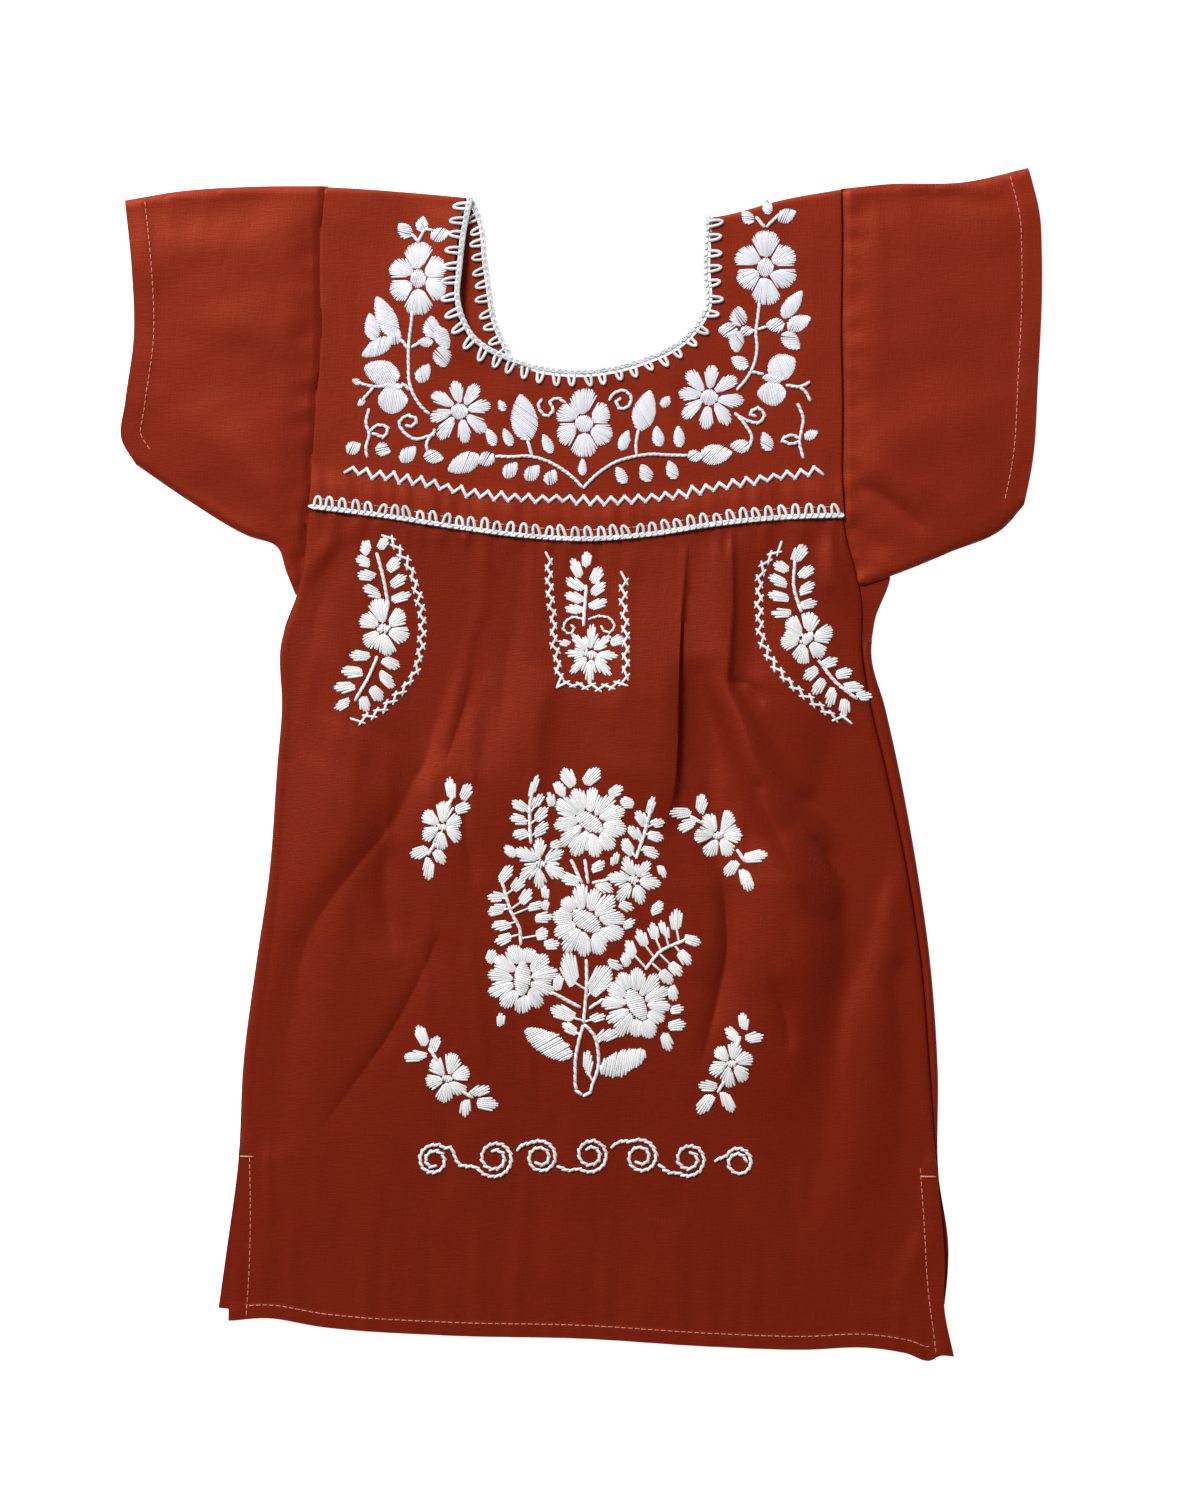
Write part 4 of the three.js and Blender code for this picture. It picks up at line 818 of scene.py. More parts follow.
def sleeve_top(side, plan):
    """Height of the outside of the front of a sleeve over plan points."""
    armhole = SLEEVE_EDGES[side].armhole
    folded, drop = sleeve_folded(side, plan, FOLD_RISE)
    seam = distance(plan, armhole, 40)
    beyond = np.abs(np.interp(plan[:, 1], *armhole[::-1, ::-1].T)) - np.abs(plan[:, 0])
    drop = np.maximum(drop, 1.9 * (1 - ease((-0.1 - beyond) / 1.1)))
    crown = 1.5 * ease(folded / 30) * ease(seam / 16)
    calm = ease(folded / 8) * ease((seam + 2) / 6)
    drape = 0.3 * swells(plan, 21, 8, 34, 80, 0.0) + 0.06 * swells(plan, 22, 9, 12, 24, 0.3)
    drape += 0.25 * swells(plan * [0.4, 1], 23, 10, 8, 18, -0.2) * (1 - ease((seam - 2) / 14))
    drape += crumple(plan, 45, 0.2)
    folds = fold_relief(plan, SLEEVE_FOLDS[side]) * ease(folded / 5)
    cuff = turned(distance(plan, SLEEVE_EDGES[side].cuff, 40), CUFF_HEM)
    height = STACK + crown + folds + drape * calm + cuff
    return np.maximum(np.maximum(height, 1.3) - drop, 0.4)


# ---- meshes --------------------------------------------------------------------------------------

EDGE_RINGS = (0.35, 0.9, 1.7, 2.8)       # distances from an edge at which the cloth gets rings of points
LINE_ROWS = (-1.6, -0.7, 0.0, 0.7, 1.6)  # distances from a line at which it gets rows of points
SHARP_REACH = 3.6                        # folds with a shorter reach get rows of points of their own
SHARP_ANGLE = math.radians(55)           # edges at more than this are shaded sharp


def outline(*edges):
    """One closed plan line, anticlockwise, from edges that follow each other end to end."""
    return np.concatenate([np.asarray(edge)[:-1, :2] for edge in edges])


def inside(plan, rim):
    """Which plan points lie inside a closed line."""
    found = np.zeros(len(plan), bool)
    x, y = plan.T
    for (x0, y0), (x1, y1) in zip(rim, np.roll(rim, -1, axis=0)):
        level = (y0 > y) != (y1 > y)
        found ^= level & (((x - x0) * (y1 - y0) < (x1 - x0) * (y - y0)) == (y1 > y0))
    return found


def triangles(rim, spacing, lines=()):
    """Plan points and triangles that fill a closed line, closer together at its edge and along the lines."""
    inward = left_of(headings(np.concatenate([rim[-1:], rim, rim[:1]])))[1:-1]
    ring = np.concatenate([rim, rim[:1]])
    extra = [rim + inward * offset for offset in EDGE_RINGS]
    clear = np.repeat(EDGE_RINGS, len(rim)) * 0.85
    for line in lines:
        side = left_of(headings(line))
        extra += [line[:, :2] + side * offset for offset in LINE_ROWS]
    extra = np.concatenate(extra)
    clear = np.concatenate([clear, np.full(len(extra) - len(clear), 3.0)])
    extra = extra[(distance(extra, ring, 3.5) > clear) & inside(extra, rim)]
    low, high = rim.min(axis=0), rim.max(axis=0)
    cells = [np.arange(math.floor(a / spacing), math.ceil(b / spacing) + 1) for a, b in zip(low, high)]
    lattice = np.stack(np.meshgrid(*cells, indexing="ij"), axis=-1).reshape(-1, 2)
    taken = {tuple(cell) for cell in np.round(np.concatenate([extra, rim]) / spacing).astype(int).tolist()}
    lattice = np.array([cell for cell in lattice.tolist() if tuple(cell) not in taken]) * spacing
    points = np.concatenate([rim, extra, lattice[inside(lattice, rim)]])
    count = len(rim)
    sides = [(i, (i + 1) % count) for i in range(count)]
    found = geometry.delaunay_2d_cdt([Vector(p) for p in points.tolist()], sides, [], 0, 1e-4, False)
    plan = np.array([tuple(v) for v in found[0]])
    faces = np.array(found[2])
    faces = faces[inside(plan[faces].mean(axis=1), rim)]
    used = np.unique(faces)
    number = np.zeros(len(plan), int)
    number[used] = np.arange(len(used))
    return plan[used], number[faces]


def raised(plan, heights):
    """Plan points and their heights as points in space."""
    return np.concatenate([plan, heights[..., None]], axis=-1)


def over(surface, plan):
    """Heights of a cloth over plan points of any shape."""
    return surface(plan.reshape(-1, 2)).reshape(plan.shape[:-1])


def shell(plan, faces, top, bottom):
    """A closed thin shell over triangles in plan: its points and faces."""
    count = len(plan)
    points = np.concatenate([raised(plan, top), raised(plan, bottom)])
    edges = np.concatenate([faces[:, [0, 1]], faces[:, [1, 2]], faces[:, [2, 0]]])
    known = {tuple(edge) for edge in edges.tolist()}
    rim = np.array([(a, b) for a, b in known if (b, a) not in known])
    walls = np.stack([rim[:, 1], rim[:, 0], rim[:, 0] + count, rim[:, 1] + count], axis=1)
    return points, [faces, faces[:, ::-1] + count, walls]


def tubes(paths, widths, depths, closed=False, sides=6):
    """Closed threads along paths, an array of lines of points, with the width and depth at each point."""
    paths = np.asarray(paths, float)
    lines, stations, _ = paths.shape
    if closed:
        run = np.roll(paths, -1, axis=1) - np.roll(paths, 1, axis=1)
    else:
        run = np.gradient(paths, axis=1)
    run /= np.maximum(np.linalg.norm(run, axis=2, keepdims=True), 1e-9)
    side = np.cross(np.array([0.0, 0.0, 1.0]), run)
    side /= np.maximum(np.linalg.norm(side, axis=2, keepdims=True), 1e-9)
    rise = np.cross(run, side)
    turns = np.arange(sides) * 2 * math.pi / sides
    widths = np.broadcast_to(np.asarray(widths, float), (lines, stations))[..., None, None] / 2
    depths = np.broadcast_to(np.asarray(depths, float), (lines, stations))[..., None, None] / 2
    ring = (side[:, :, None] * np.cos(turns)[:, None] * widths
            + rise[:, :, None] * np.sin(turns)[:, None] * depths)
    points = (paths[:, :, None] + ring).reshape(-1, 3)
    number = np.arange(lines * stations * sides).reshape(lines, stations, sides)
    ahead = np.roll(number, -1, axis=1) if closed else number[:, 1:]
    here = number if closed else number[:, :-1]
    across = np.roll(here, -1, axis=2)
    beyond = np.roll(ahead, -1, axis=2)
    faces = [np.stack([here, across, beyond, ahead], axis=-1).reshape(-1, 4)[:, ::-1]]
    if not closed:
        faces += [number[:, 0], number[:, -1, ::-1]]
    return points, faces


def join(parts):
    """Several meshes, each its points and faces, as one."""
    points, faces, start = [], [], 0
    for some, polygons in parts:
        points.append(some)
        faces += [polygon + start for polygon in polygons]
        start += len(some)
    return np.concatenate(points), faces


def mesh_object(name, parts, material, stands_for=()):
    """A piece made of closed meshes in millimetres, riding on the dress."""
    points, faces = join(parts)
    mesh = bpy.data.meshes.new(name)
    mesh.from_pydata((points * MM).tolist(), [], [face for group in faces for face in group.tolist()])
    mesh.shade_smooth()
    mesh.set_sharp_from_angle(angle=SHARP_ANGLE)
    mesh.materials.append(material)
    piece = bpy.data.objects.new(name, mesh)
    bpy.context.scene.collection.objects.link(piece)
    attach(piece, "root")
    if stands_for:
        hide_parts(*stands_for)
    return piece


# ---- materials -----------------------------------------------------------------------------------

def linear(code):
    """The linear RGB of an sRGB hex colour."""
    parts = [int(code[i:i + 2], 16) / 255 for i in (0, 2, 4)]
    return tuple(p / 12.92 if p <= 0.04045 else ((p + 0.055) / 1.055) ** 2.4 for p in parts)


def add(tree, kind, inputs=(), **settings):
    """Adds a node with its settings. Inputs are values or the sockets that they are linked from."""
    made = tree.nodes.new(kind)
    for name, value in settings.items():
        setattr(made, name, value)
    for name, value in dict(inputs).items():
        if isinstance(value, bpy.types.NodeSocket):
            tree.links.new(value, made.inputs[name])
        else:
            made.inputs[name].default_value = value
    return made


def new_material(name):
    """An empty node material: its tree and its output node."""
    made = bpy.data.materials.new(name)
    made.use_nodes = True
    made.node_tree.nodes.clear()
    return made, made.node_tree, add(made.node_tree, "ShaderNodeOutputMaterial")


def noise(tree, place, scale, detail):
    """The value of a noise texture."""
    made = add(tree, "ShaderNodeTexNoise", {"Vector": place, "Scale": scale, "Detail": detail})
    return made.outputs["Fac"]


def spread(tree, tone, low, high):
    """A tone between low and high as a share between 0 and 1."""
    made = add(tree, "ShaderNodeMapRange", {"Value": tone, "From Min": low, "From Max": high})
    return made.outputs["Result"]


def blend(tree, share, low, high):
    """A colour between two, by a share."""
    inputs = {"Factor": share, 6: (*low, 1), 7: (*high, 1)}
    return add(tree, "ShaderNodeMix", inputs, data_type="RGBA").outputs[2]


def bump(tree, height, strength, depth):
    """A normal that is tilted by fine relief."""
    made = add(tree, "ShaderNodeBump", {"Height": height, "Strength": strength, "Distance": depth})
    return made.outputs["Normal"]


def poplin(name, dye, shade, weave):
    """Cotton poplin, woven from fine spun yarn and piece dyed: matt, with a fine even grain, and slightly
    uneven in tone where the yarn is thicker. Its yarns lie about 0.3 mm apart, and are drawn coarser, so
    that they show."""
    material, tree, output = new_material(name)
    place = add(tree, "ShaderNodeTexCoord").outputs["Object"]
    yarns = []
    for run in ((1 / 7, 1, 1), (1, 1 / 7, 1)):
        across = add(tree, "ShaderNodeMapping", {"Vector": place, "Scale": [s / weave for s in run]})
        yarns.append(noise(tree, across.outputs["Vector"], 1.0, 2.0))
    grain = add(tree, "ShaderNodeMath", {0: yarns[0], 1: yarns[1]}, operation="ADD").outputs[0]
    cloud = noise(tree, place, 16.0, 3.0)
    tone = add(tree, "ShaderNodeMath", {0: grain, 1: cloud}, operation="ADD").outputs[0]
    colour = blend(tree, spread(tree, tone, 1.1, 1.9), shade, dye)
    cloth = add(tree, "ShaderNodeBsdfPrincipled", {
        "Base Color": colour, "Roughness": 0.56, "IOR": 1.5, "Specular IOR Level": 1.0,
        "Specular Tint": (1, 0.19, 0.08, 1), "Normal": bump(tree, grain, 0.35, 0.25 * MM)})
    tree.links.new(cloth.outputs[0], output.inputs["Surface"])
    return material


def cotton_thread(name, colour, ply, gloss):
    """Spun cotton thread, mercerised, so that it is smooth and a little bright: fine strands twisted
    together give it small soft ridges."""
    material, tree, output = new_material(name)
    place = add(tree, "ShaderNodeTexCoord").outputs["Object"]
    strands = noise(tree, place, 1 / ply, 2.0)
    cloud = noise(tree, place, 70.0, 1.0)
    stitch = add(tree, "ShaderNodeNewGeometry").outputs["Random Per Island"]
    tone = add(tree, "ShaderNodeMath", {0: strands, 1: cloud}, operation="ADD").outputs[0]
    tone = add(tree, "ShaderNodeMath", {0: stitch, 1: 0.75, 2: tone}, operation="MULTIPLY_ADD").outputs[0]
    dim = [(0.62 + 0.2 * gloss) * c for c in colour]
    mixed = blend(tree, spread(tree, tone, 0.85, 1.7), dim, colour)
    thread = add(tree, "ShaderNodeBsdfPrincipled", {
        "Base Color": mixed, "Roughness": 0.55 - 0.2 * gloss, "IOR": 1.53,
        "Specular IOR Level": 0.3 + 0.3 * gloss, "Sheen Weight": 0.1, "Sheen Roughness": 0.4,
        "Normal": bump(tree, strands, 0.5, 0.1 * MM)})
    tree.links.new(thread.outputs[0], output.inputs["Surface"])
    return material


def seamless_paper(name, colour, glow):
    """White background paper, matt, and lit from behind as on a light table, so that it stays pale."""
    material, tree, output = new_material(name)
    paper = add(tree, "ShaderNodeBsdfPrincipled", {
        "Base Color": (*colour, 1), "Roughness": 0.9, "Specular IOR Level": 0.1,
        "Emission Color": (*colour, 1), "Emission Strength": glow})
    tree.links.new(paper.outputs[0], output.inputs["Surface"])
    return material


# ---- needlework ----------------------------------------------------------------------------------

# Where a stitch has its rings of points, as a share of its length, and how wide it is there.
STITCH_STATIONS = np.array([0.0, 0.12, 0.5, 0.88, 1.0])
STITCH_TAPER = np.array([0.7, 0.95, 1.0, 0.92, 0.5])
# The shape of a crocheted loop, along the edge and out from it.
LOOP_ALONG = np.array([-0.5, -0.47, -0.36, -0.16, 0.0, 0.16, 0.36, 0.47, 0.5])
LOOP_OUT = np.array([0.0, 0.4, 0.78, 0.96, 1.0, 0.96, 0.78, 0.4, 0.0])
# How the petals of each kind of flower are worked: how full and pointed they are, how unevenly they lie, how
# far apart their stitches are, how wide their feet are, and how loose the core is.
PETALS = {row.style: row for row in table(
    "style fill point tip uneven pitch foot loose",
    ("fine", 1.08, 0.32, 3.0, 0.02, 0.86, 0.92, 0.1), ("daisy", 0.84, 0.3, 2.8, 0.04, 0.86, 0.8, 0.1),
    ("round", 1.2, 0.28, 2.2, 0.05, 0.92, 1.04, 0.2), ("blunt", 1.02, 0.24, 2.2, 0.05, 0.92, 0.9, 0.35),
    ("star", 0.9, 0.46, 1.9, 0.05, 0.92, 0.9, 0.35),
)}
PETAL_GAP = 0.1                  # between the core and the feet of the petals


def beside(line, offset):
    """A line that runs at a distance to the left of another."""
    return line[:, :2] + left_of(headings(line)) * offset


def leaf_foot(row):
    """Where a leaf starts, and the angle, in radians, at which it points from there."""
    turn = math.radians(row.turn)
    return np.array([row.x, row.y]) - row.length / 2 * pointing(turn), turn


class Needle:
    """Works stitches in thread of one width over a cloth, and keeps them as meshes."""

    def __init__(self, surface, width, seed):
        self.surface = surface
        self.width = width
        self.random = np.random.default_rng(seed)
        self.parts = []

    def straight(self, starts, ends, rise=0.25, width=None):
        """Straight stitches between plan points, each arched up by rise."""
        starts = np.atleast_2d(np.asarray(starts, float))
        ends = np.atleast_2d(np.asarray(ends, float))
        width = np.broadcast_to(width or self.width, len(starts))
        rise = np.broadcast_to(rise, len(starts))
        t = STITCH_STATIONS[None, :, None]
        plan = starts[:, None] * (1 - t) + ends[:, None] * t
        arch = np.sin(math.pi * STITCH_STATIONS) ** 0.7
        height = over(self.surface, plan) + rise[:, None] * arch + 0.1
        widths = width[:, None] * STITCH_TAPER
        self.parts.append(tubes(raised(plan, height), widths, 0.72 * widths))

    def place(self, foot, turn, points):
        """Plan points that are given along and across a direction from a foot."""
        run = pointing(turn)
        return np.asarray(foot) + points[:, :1] * run + points[:, 1:] * left_of(run)

    def fan(self, foot, turn, length, width, neck, point, tip, pitch):
        """A petal or leaf of stitches that spread along it from its foot, which is as wide as its neck. Its
        sides fall short of its tip by a share of its length, the point, and the higher the power tip, the
        blunter it is."""
        count = max(2, round(width / pitch))
        across = np.linspace(-1, 1, count)
        loose = self.random.normal(0, 0.12, (count, 3))
        stagger = self.random.normal(0, 0.07) * length * across
        near = np.column_stack([length * 0.08 * np.abs(across) + stagger + loose[:, 0], across * neck / 2])
        reach = length * (1 - point * np.abs(across) ** tip) + stagger + 1.2 * loose[:, 1]
        far = np.column_stack([reach, across * (width - self.width) / 2 + loose[:, 2]])
        rise = np.clip(0.025 * length, 0.12, 0.26) * (1 - 0.4 * across**2) * (1 + loose[:, 0])
        self.straight(self.place(foot, turn, near), self.place(foot, turn, far), rise)

    def satin(self, foot, turn, length, width, slant=40, blunt=0.8, full=0.7, uneven=0.1):
        """A leaf that is filled with stitches across it at a slant, from its foot to its tip. The lower full
        is, the rounder are its ends."""
        def half(t):
            return (width - self.width * 0.6) / 2 * np.sin(math.pi * np.clip(t, 0, 1) ** blunt) ** full

        count = max(3, round(length / (self.width * 0.86)))
        t = (np.arange(count) + 0.5) / count
        lean = half(t) * math.tan(math.radians(slant)) / length
        low = np.clip(t - lean, 0.02, 0.98)
        high = np.clip(t + lean, 0.02, 0.98)
        loose = self.random.normal(0, uneven, (count, 2))
        starts = np.column_stack([low * length, loose[:, 0] - half(low)])
        ends = np.column_stack([high * length, half(high) + loose[:, 1]])
        self.straight(self.place(foot, turn, starts), self.place(foot, turn, ends), 0.15 + 0.035 * half(t))

    def leaf(self, row, **style):
        """A satin leaf about its centre."""
        self.satin(*leaf_foot(row), row.length, row.width, **style)

    def sprig(self, row, stems=()):
        """A leaf of a few spreading stitches, joined by a straight one to a stem that is near."""
        foot, turn = leaf_foot(row)
        self.fan(foot, turn, row.length, 1.12 * row.width, 0.6 * row.width, point=0.26, tip=1.7,
                 pitch=0.92 * self.width)
        if stems:
            line = np.concatenate([curve(stem, 0.5) for stem in stems])
            back = foot - 2.5 * pointing(turn)
            found = line[((line - back) ** 2).sum(axis=1).argmin()]
            if 1.2 < np.linalg.norm(found - foot) < 7.5:
                self.straight(found, foot + 1.2 * pointing(turn), 0.25, 0.85 * self.width)

    def stem(self, points, length=3.4, slant=6, width=None):
        """Stem stitch: short stitches along a line that overlap and lean a little across it."""
        line = curve(points, 0.25)
        total = lengths(line)[-1]
        count = max(1, round(total / (length * 0.74)))
        half = min(length, total) / 2
        at = np.linspace(half / total, 1 - half / total, count) if count > 1 else np.array([0.5])
        at = np.round(at * (len(line) - 1)).astype(int)
        lean = np.radians(slant) * (1 + self.random.normal(0, 0.3, (count, 1)))
        run = headings(line)[at]
        run = run * np.cos(lean) + left_of(run) * np.sin(lean)
        reach = half * (1 + self.random.normal(0, 0.06, (count, 1)))
        self.straight(line[at] - run * reach, line[at] + run * reach, 0.3, width)

    def zigzag(self, points, pitch, height, overshoot=0.0, width=None):
        """A zigzag along a line. With an overshoot its strokes cross at their ends."""
        line = curve(points, 0.5)
        along = lengths(line)
        count = 2 * max(1, round(along[-1] / pitch))
        middle = hermite(along, line, np.linspace(0, along[-1], count + 1))
        sign = np.where(np.arange(count + 1) % 2, 1, -1)[:, None]
        uneven = 1 + self.random.normal(0, 0.2, (count + 1, 1))
        corners = middle + left_of(headings(middle)) * sign * height / 2 * uneven
        extra = (corners[1:] - corners[:-1]) * overshoot
        self.straight(corners[:-1] - extra, corners[1:] + extra, 0.3, width)

    def dashes(self, points, share=0.74):
        """Machine stitching: even stitches that show for a share of their pitch."""
        line = curve(points, 0.5)
        along = lengths(line)
        dash = SEWING_PITCH * share
        starts = np.arange(0, along[-1] - dash, SEWING_PITCH)
        starts = starts + self.random.normal(0, 0.06, len(starts))
        self.straight(hermite(along, line, starts), hermite(along, line, starts + dash), 0.08)

    def flower(self, row):
        """Petals round a satin core."""
        style = PETALS[row.style]
        centre = np.array([row.x, row.y])
        core_turn = math.radians(row.core_turn)
        core_length, core_width = 1.1 * row.core_length, 1.1 * row.core_width

        def radius(length, width, angle):
            return length * width / 2 / math.hypot(width * math.cos(angle), length * math.sin(angle))

        for i in range(row.petals):
            place = i + self.random.normal(0, style.uneven)
            angle = math.radians(row.turn) + 2 * math.pi * place / row.petals
            foot = radius(core_length, core_width, angle - core_turn) + PETAL_GAP
            length = radius(row.across, row.up, angle) * (1 + self.random.normal(0, style.uneven)) - foot
            room = 2 * math.pi / row.petals
            width = room * (foot + 0.62 * length) * style.fill
            self.fan(centre + pointing(angle) * foot, angle, length, width, room * foot * style.foot,
                     style.point, style.tip, self.width * style.pitch)
        self.satin(centre - core_length / 2 * pointing(core_turn), core_turn, core_length, core_width,
                   slant=16, blunt=1, full=0.5, uneven=style.loose)

    def herringbone(self, points):
        """Herringbone stitch along a line."""
        self.zigzag(points, pitch=5.8, height=1.7, overshoot=0.52, width=1.15)


def chain(line, surface, height, width, pitch, thread):
    """Crocheted chain along a line: drop-shaped links of thread, each through the one before, at a height
    above a cloth."""
    along = lengths(line)
    count = round(along[-1] / pitch)
    start = hermite(along, line, (np.arange(count) + 0.5) / count * along[-1])
    run = headings(line)[np.round(np.linspace(0, len(line) - 1, count)).astype(int)]
    turns = np.arange(12) / 12 * 2 * math.pi
    length = pitch * 1.5
    x = -length / 2 * np.cos(turns)
    y = (width - thread) / 2 * np.sin(turns) * (0.62 + 0.38 * np.cos(turns))
    z = 0.35 * thread * np.cos(turns)
    plan = start[:, None] + run[:, None] * x[None, :, None] + left_of(run)[:, None] * y[None, :, None]
    return tubes(raised(plan, surface(start)[:, None] + height + z), thread, thread * 0.9, closed=True)


def picots(line, surface, offset, depth, width, pitch, thread, height, seed):
    """The loops that sew a crocheted edge down, one at every pitch, out from an offset from its line. They
    reach to the left of the line, or to the right if their depth is negative, and start at a height."""
    random = np.random.default_rng(seed)
    along = lengths(line)
    count = round(along[-1] / pitch)
    at = (np.arange(count) + 0.5) / count * along[-1] + random.normal(0, 0.25, count)
    start = hermite(along, line, at)
    run = hermite(along, headings(line), at)
    side = left_of(run) * np.sign(depth)
    reach = abs(depth) * (1 + random.normal(0, 0.07, (count, 1)))
    lean = random.normal(0.12, 0.1, (count, 1)) * reach
    along_edge = LOOP_ALONG * width + lean * LOOP_OUT
    out = offset + reach * LOOP_OUT
    plan = start[:, None] + run[:, None] * along_edge[..., None] + side[:, None] * out[..., None]
    sewn = ease(out / 2.2)
    heights = over(surface, plan) + 0.35 * thread * sewn + height * (1 - sewn)
    return tubes(raised(plan, heights), thread, thread * 0.8)


# ---- settings ------------------------------------------------------------------------------------

def size(name, description, millimetres):
    """A setting for a length."""
    return FloatProperty(name=name, description=description, default=millimetres * MM, min=0.1 * MM,
                         unit="LENGTH")


def tint(name, description, code):
    """A setting for a colour, given as sRGB hex."""
    return FloatVectorProperty(name=name, description=description, default=linear(code), min=0, max=1,
                               subtype="COLOR")


class DressSizes(bpy.types.PropertyGroup):
    """Sizes of cloth and thread"""

    cloth: size("Cloth", "Thickness of one layer of poplin", 0.5)
    spacing: size("Mesh spacing", "Distance between points of the cloth", 2.1)
    floss: size("Fine floss", "Width of a stitch of the yoke's embroidery", 0.85)
    thick_floss: size("Thick floss", "Width of a stitch of the skirt's embroidery", 1.15)
    weave: size("Weave", "Spacing at which the yarns are drawn", 0.7)


class DressColours(bpy.types.PropertyGroup):
    """Colours of cloth, thread and paper"""

    dye: tint("Dye", "Terracotta of the cotton", "6e1809")
    shade: tint("Dye, thick", "Deeper tone where the yarn is thicker", "671508")
    # The lighter copies of the dye for the yoke and sleeves are painted sheen: they stand in for the brighter
    # light that yoke and sleeves catch from above.
    painted_sheen_dye: tint("Dye across the grain", "Terracotta of the yoke and sleeves", "7a200e")
    painted_sheen_dye_thick: tint("Dye across the grain, thick", "Deeper tone of the yoke and sleeves", "731c0d")
    yoke_floss: tint("Yoke floss", "White floss with a lilac tint", "ebebf3")
    skirt_floss: tint("Skirt floss", "White floss with a blue tint", "f4f4f5")
    crochet: tint("Crochet", "White crochet cotton with a mint tint", "eff2f4")
    sewing: tint("Sewing thread", "Machine topstitching", "d88a74")
    paper: tint("Floor", "Background paper", "fafafa")


def settings(context):
    """The sizes in millimetres, and the colours."""
    scene = context.scene
    sizes = {name: getattr(scene.dress_sizes, name) / MM for name in DressSizes.__annotations__}
    return SimpleNamespace(**sizes), scene.dress_colours


def cloth_object(context, name, parts, stands_for, cut, cross=False):
    """A piece of poplin. Yoke and sleeves are cut across the grain; with cross they get the lighter dye,
    which is painted sheen for the brighter light that they catch from above.
    """
    sizes, colours = settings(context)
    tones = (colours.painted_sheen_dye, colours.painted_sheen_dye_thick) if cross else (colours.dye, colours.shade)
    material = poplin(f"terracotta poplin, {cut}", *map(tuple, tones), sizes.weave * MM)
    mesh_object(name, parts, material, [stands_for])


# ---- pieces --------------------------------------------------------------------------------------

class DRESS_OT_back(bpy.types.Operator):
    """Makes the back, whose right side comes round onto the front"""

    bl_idname = "dress.back"
    bl_label = "Back"

    def execute(self, context):
        sizes, _ = settings(context)
        left, right, foot = curve(BACK_LEFT), curve(BACK_RIGHT), curve(BACK_HEM)
        head = yoke_edge(np.linspace(BACK_RIGHT[0][0], BACK_LEFT[0][0], 120)) - [0, 0.5]
        rim = outline(left, foot, right[::-1], head)
        plan, faces = triangles(rim, sizes.spacing * 1.4)
        edge = np.minimum(distance(plan, left, 20), distance(plan, right, 20))
        seam, side = left[left[:, 1] > SLIT_TOPS["left"]], self.wrapped(right)
        bottom = lift(plan, 3, 50, 110, 0.8, height=0.35) * ease((edge - 3) / 16)
        for line in (seam, side):
            bottom += rounding(plan, line, EDGE_ROUND, FOLD_RISE - sizes.cloth / 2)
        parts = [shell(plan, faces, bottom + sizes.cloth, bottom), self.strip(side, sizes)]
        cloth_object(context, "back_cloth", parts, "back_panel", "back")
        return {"FINISHED"}

    def wrapped(self, line):
        """The part of a line where the back comes round onto the front."""
        return line[(line[:, 1] < WRAP.top) & (line[:, 1] > WRAP.bottom)]

    def strip(self, side, sizes):
        """The edge of the back that has come round onto the front, up to the side seam."""
        inner = self.wrapped(FRONT_SIDES["right"]) + [WRAP.gap, 0]
        rim = outline(inner, [inner[-1], side[-1]], side[::-1], [side[0], inner[0]])
        plan, faces = triangles(rim, sizes.spacing)
        top = STACK - rounding(plan, side, EDGE_ROUND, FOLD_RISE) - rounding(plan, inner, 2.2, 0.9)
        top += 0.12 * swells(plan, 12, 6, 20, 50, 0.2)
        return shell(plan, faces, top, top - sizes.cloth)


class DRESS_OT_sleeves(bpy.types.Operator):
    """Makes both sleeves, folded along the top and open at the cuffs"""

    bl_idname = "dress.sleeves"
    bl_label = "Sleeves"

    def execute(self, context):
        sizes, _ = settings(context)
        for side, edges in SLEEVE_EDGES.items():
            armhole = edges.armhole + [SEAM if side == "left" else -SEAM, 0]
            around = [armhole, edges.lower, edges.cuff[::-1], edges.top[::-1]]
            if side == "right":
                around = [line[::-1] for line in around[::-1]]
            plan, faces = triangles(outline(*around), sizes.spacing)
            front = sleeve_top(side, plan)
            folded, rise = sleeve_folded(side, plan, FOLD_RISE - sizes.cloth)
            back = 0.2 * ease(folded / 20) + rise
            parts = [shell(plan, faces, front, front - sizes.cloth),
                     shell(plan, faces, back + sizes.cloth, back)]
            # The sleeves take the lighter dye, which is painted sheen.
            cloth_object(context, f"sleeve_{side}_cloth", parts, f"sleeve_{side}", f"{side} sleeve", True)
        return {"FINISHED"}


class DRESS_OT_front(bpy.types.Operator):
    """Makes the pleated front with its turned hem and slits"""

    bl_idname = "dress.front"
    bl_label = "Front"

    def execute(self, context):
        sizes, _ = settings(context)
        left, right = FRONT_SIDES["left"], FRONT_SIDES["right"]
        head = yoke_edge(np.linspace(right[0, 0], left[0, 0], 120)) + [0, LAP - 1]
        rim = outline(left, FRONT_FOOT, right[::-1], [right[0], head[0]], head, [head[-1], left[0]])
        sharp = [rows for _, rows in FRONT_FOLDS.values()
                 if min(min(row[3:]) for row in rows) < SHARP_REACH]
        lines = [*map(curve, sharp), FRONT_FOOT[4:-6] + [0, HEM_WIDTH]]
        plan, faces = triangles(rim, sizes.spacing, lines)
        top = front_top(plan)
        parts = [shell(plan, faces, top, top - sizes.cloth)]
        cloth_object(context, "front_cloth", parts, "front_panel", "front")
        return {"FINISHED"}


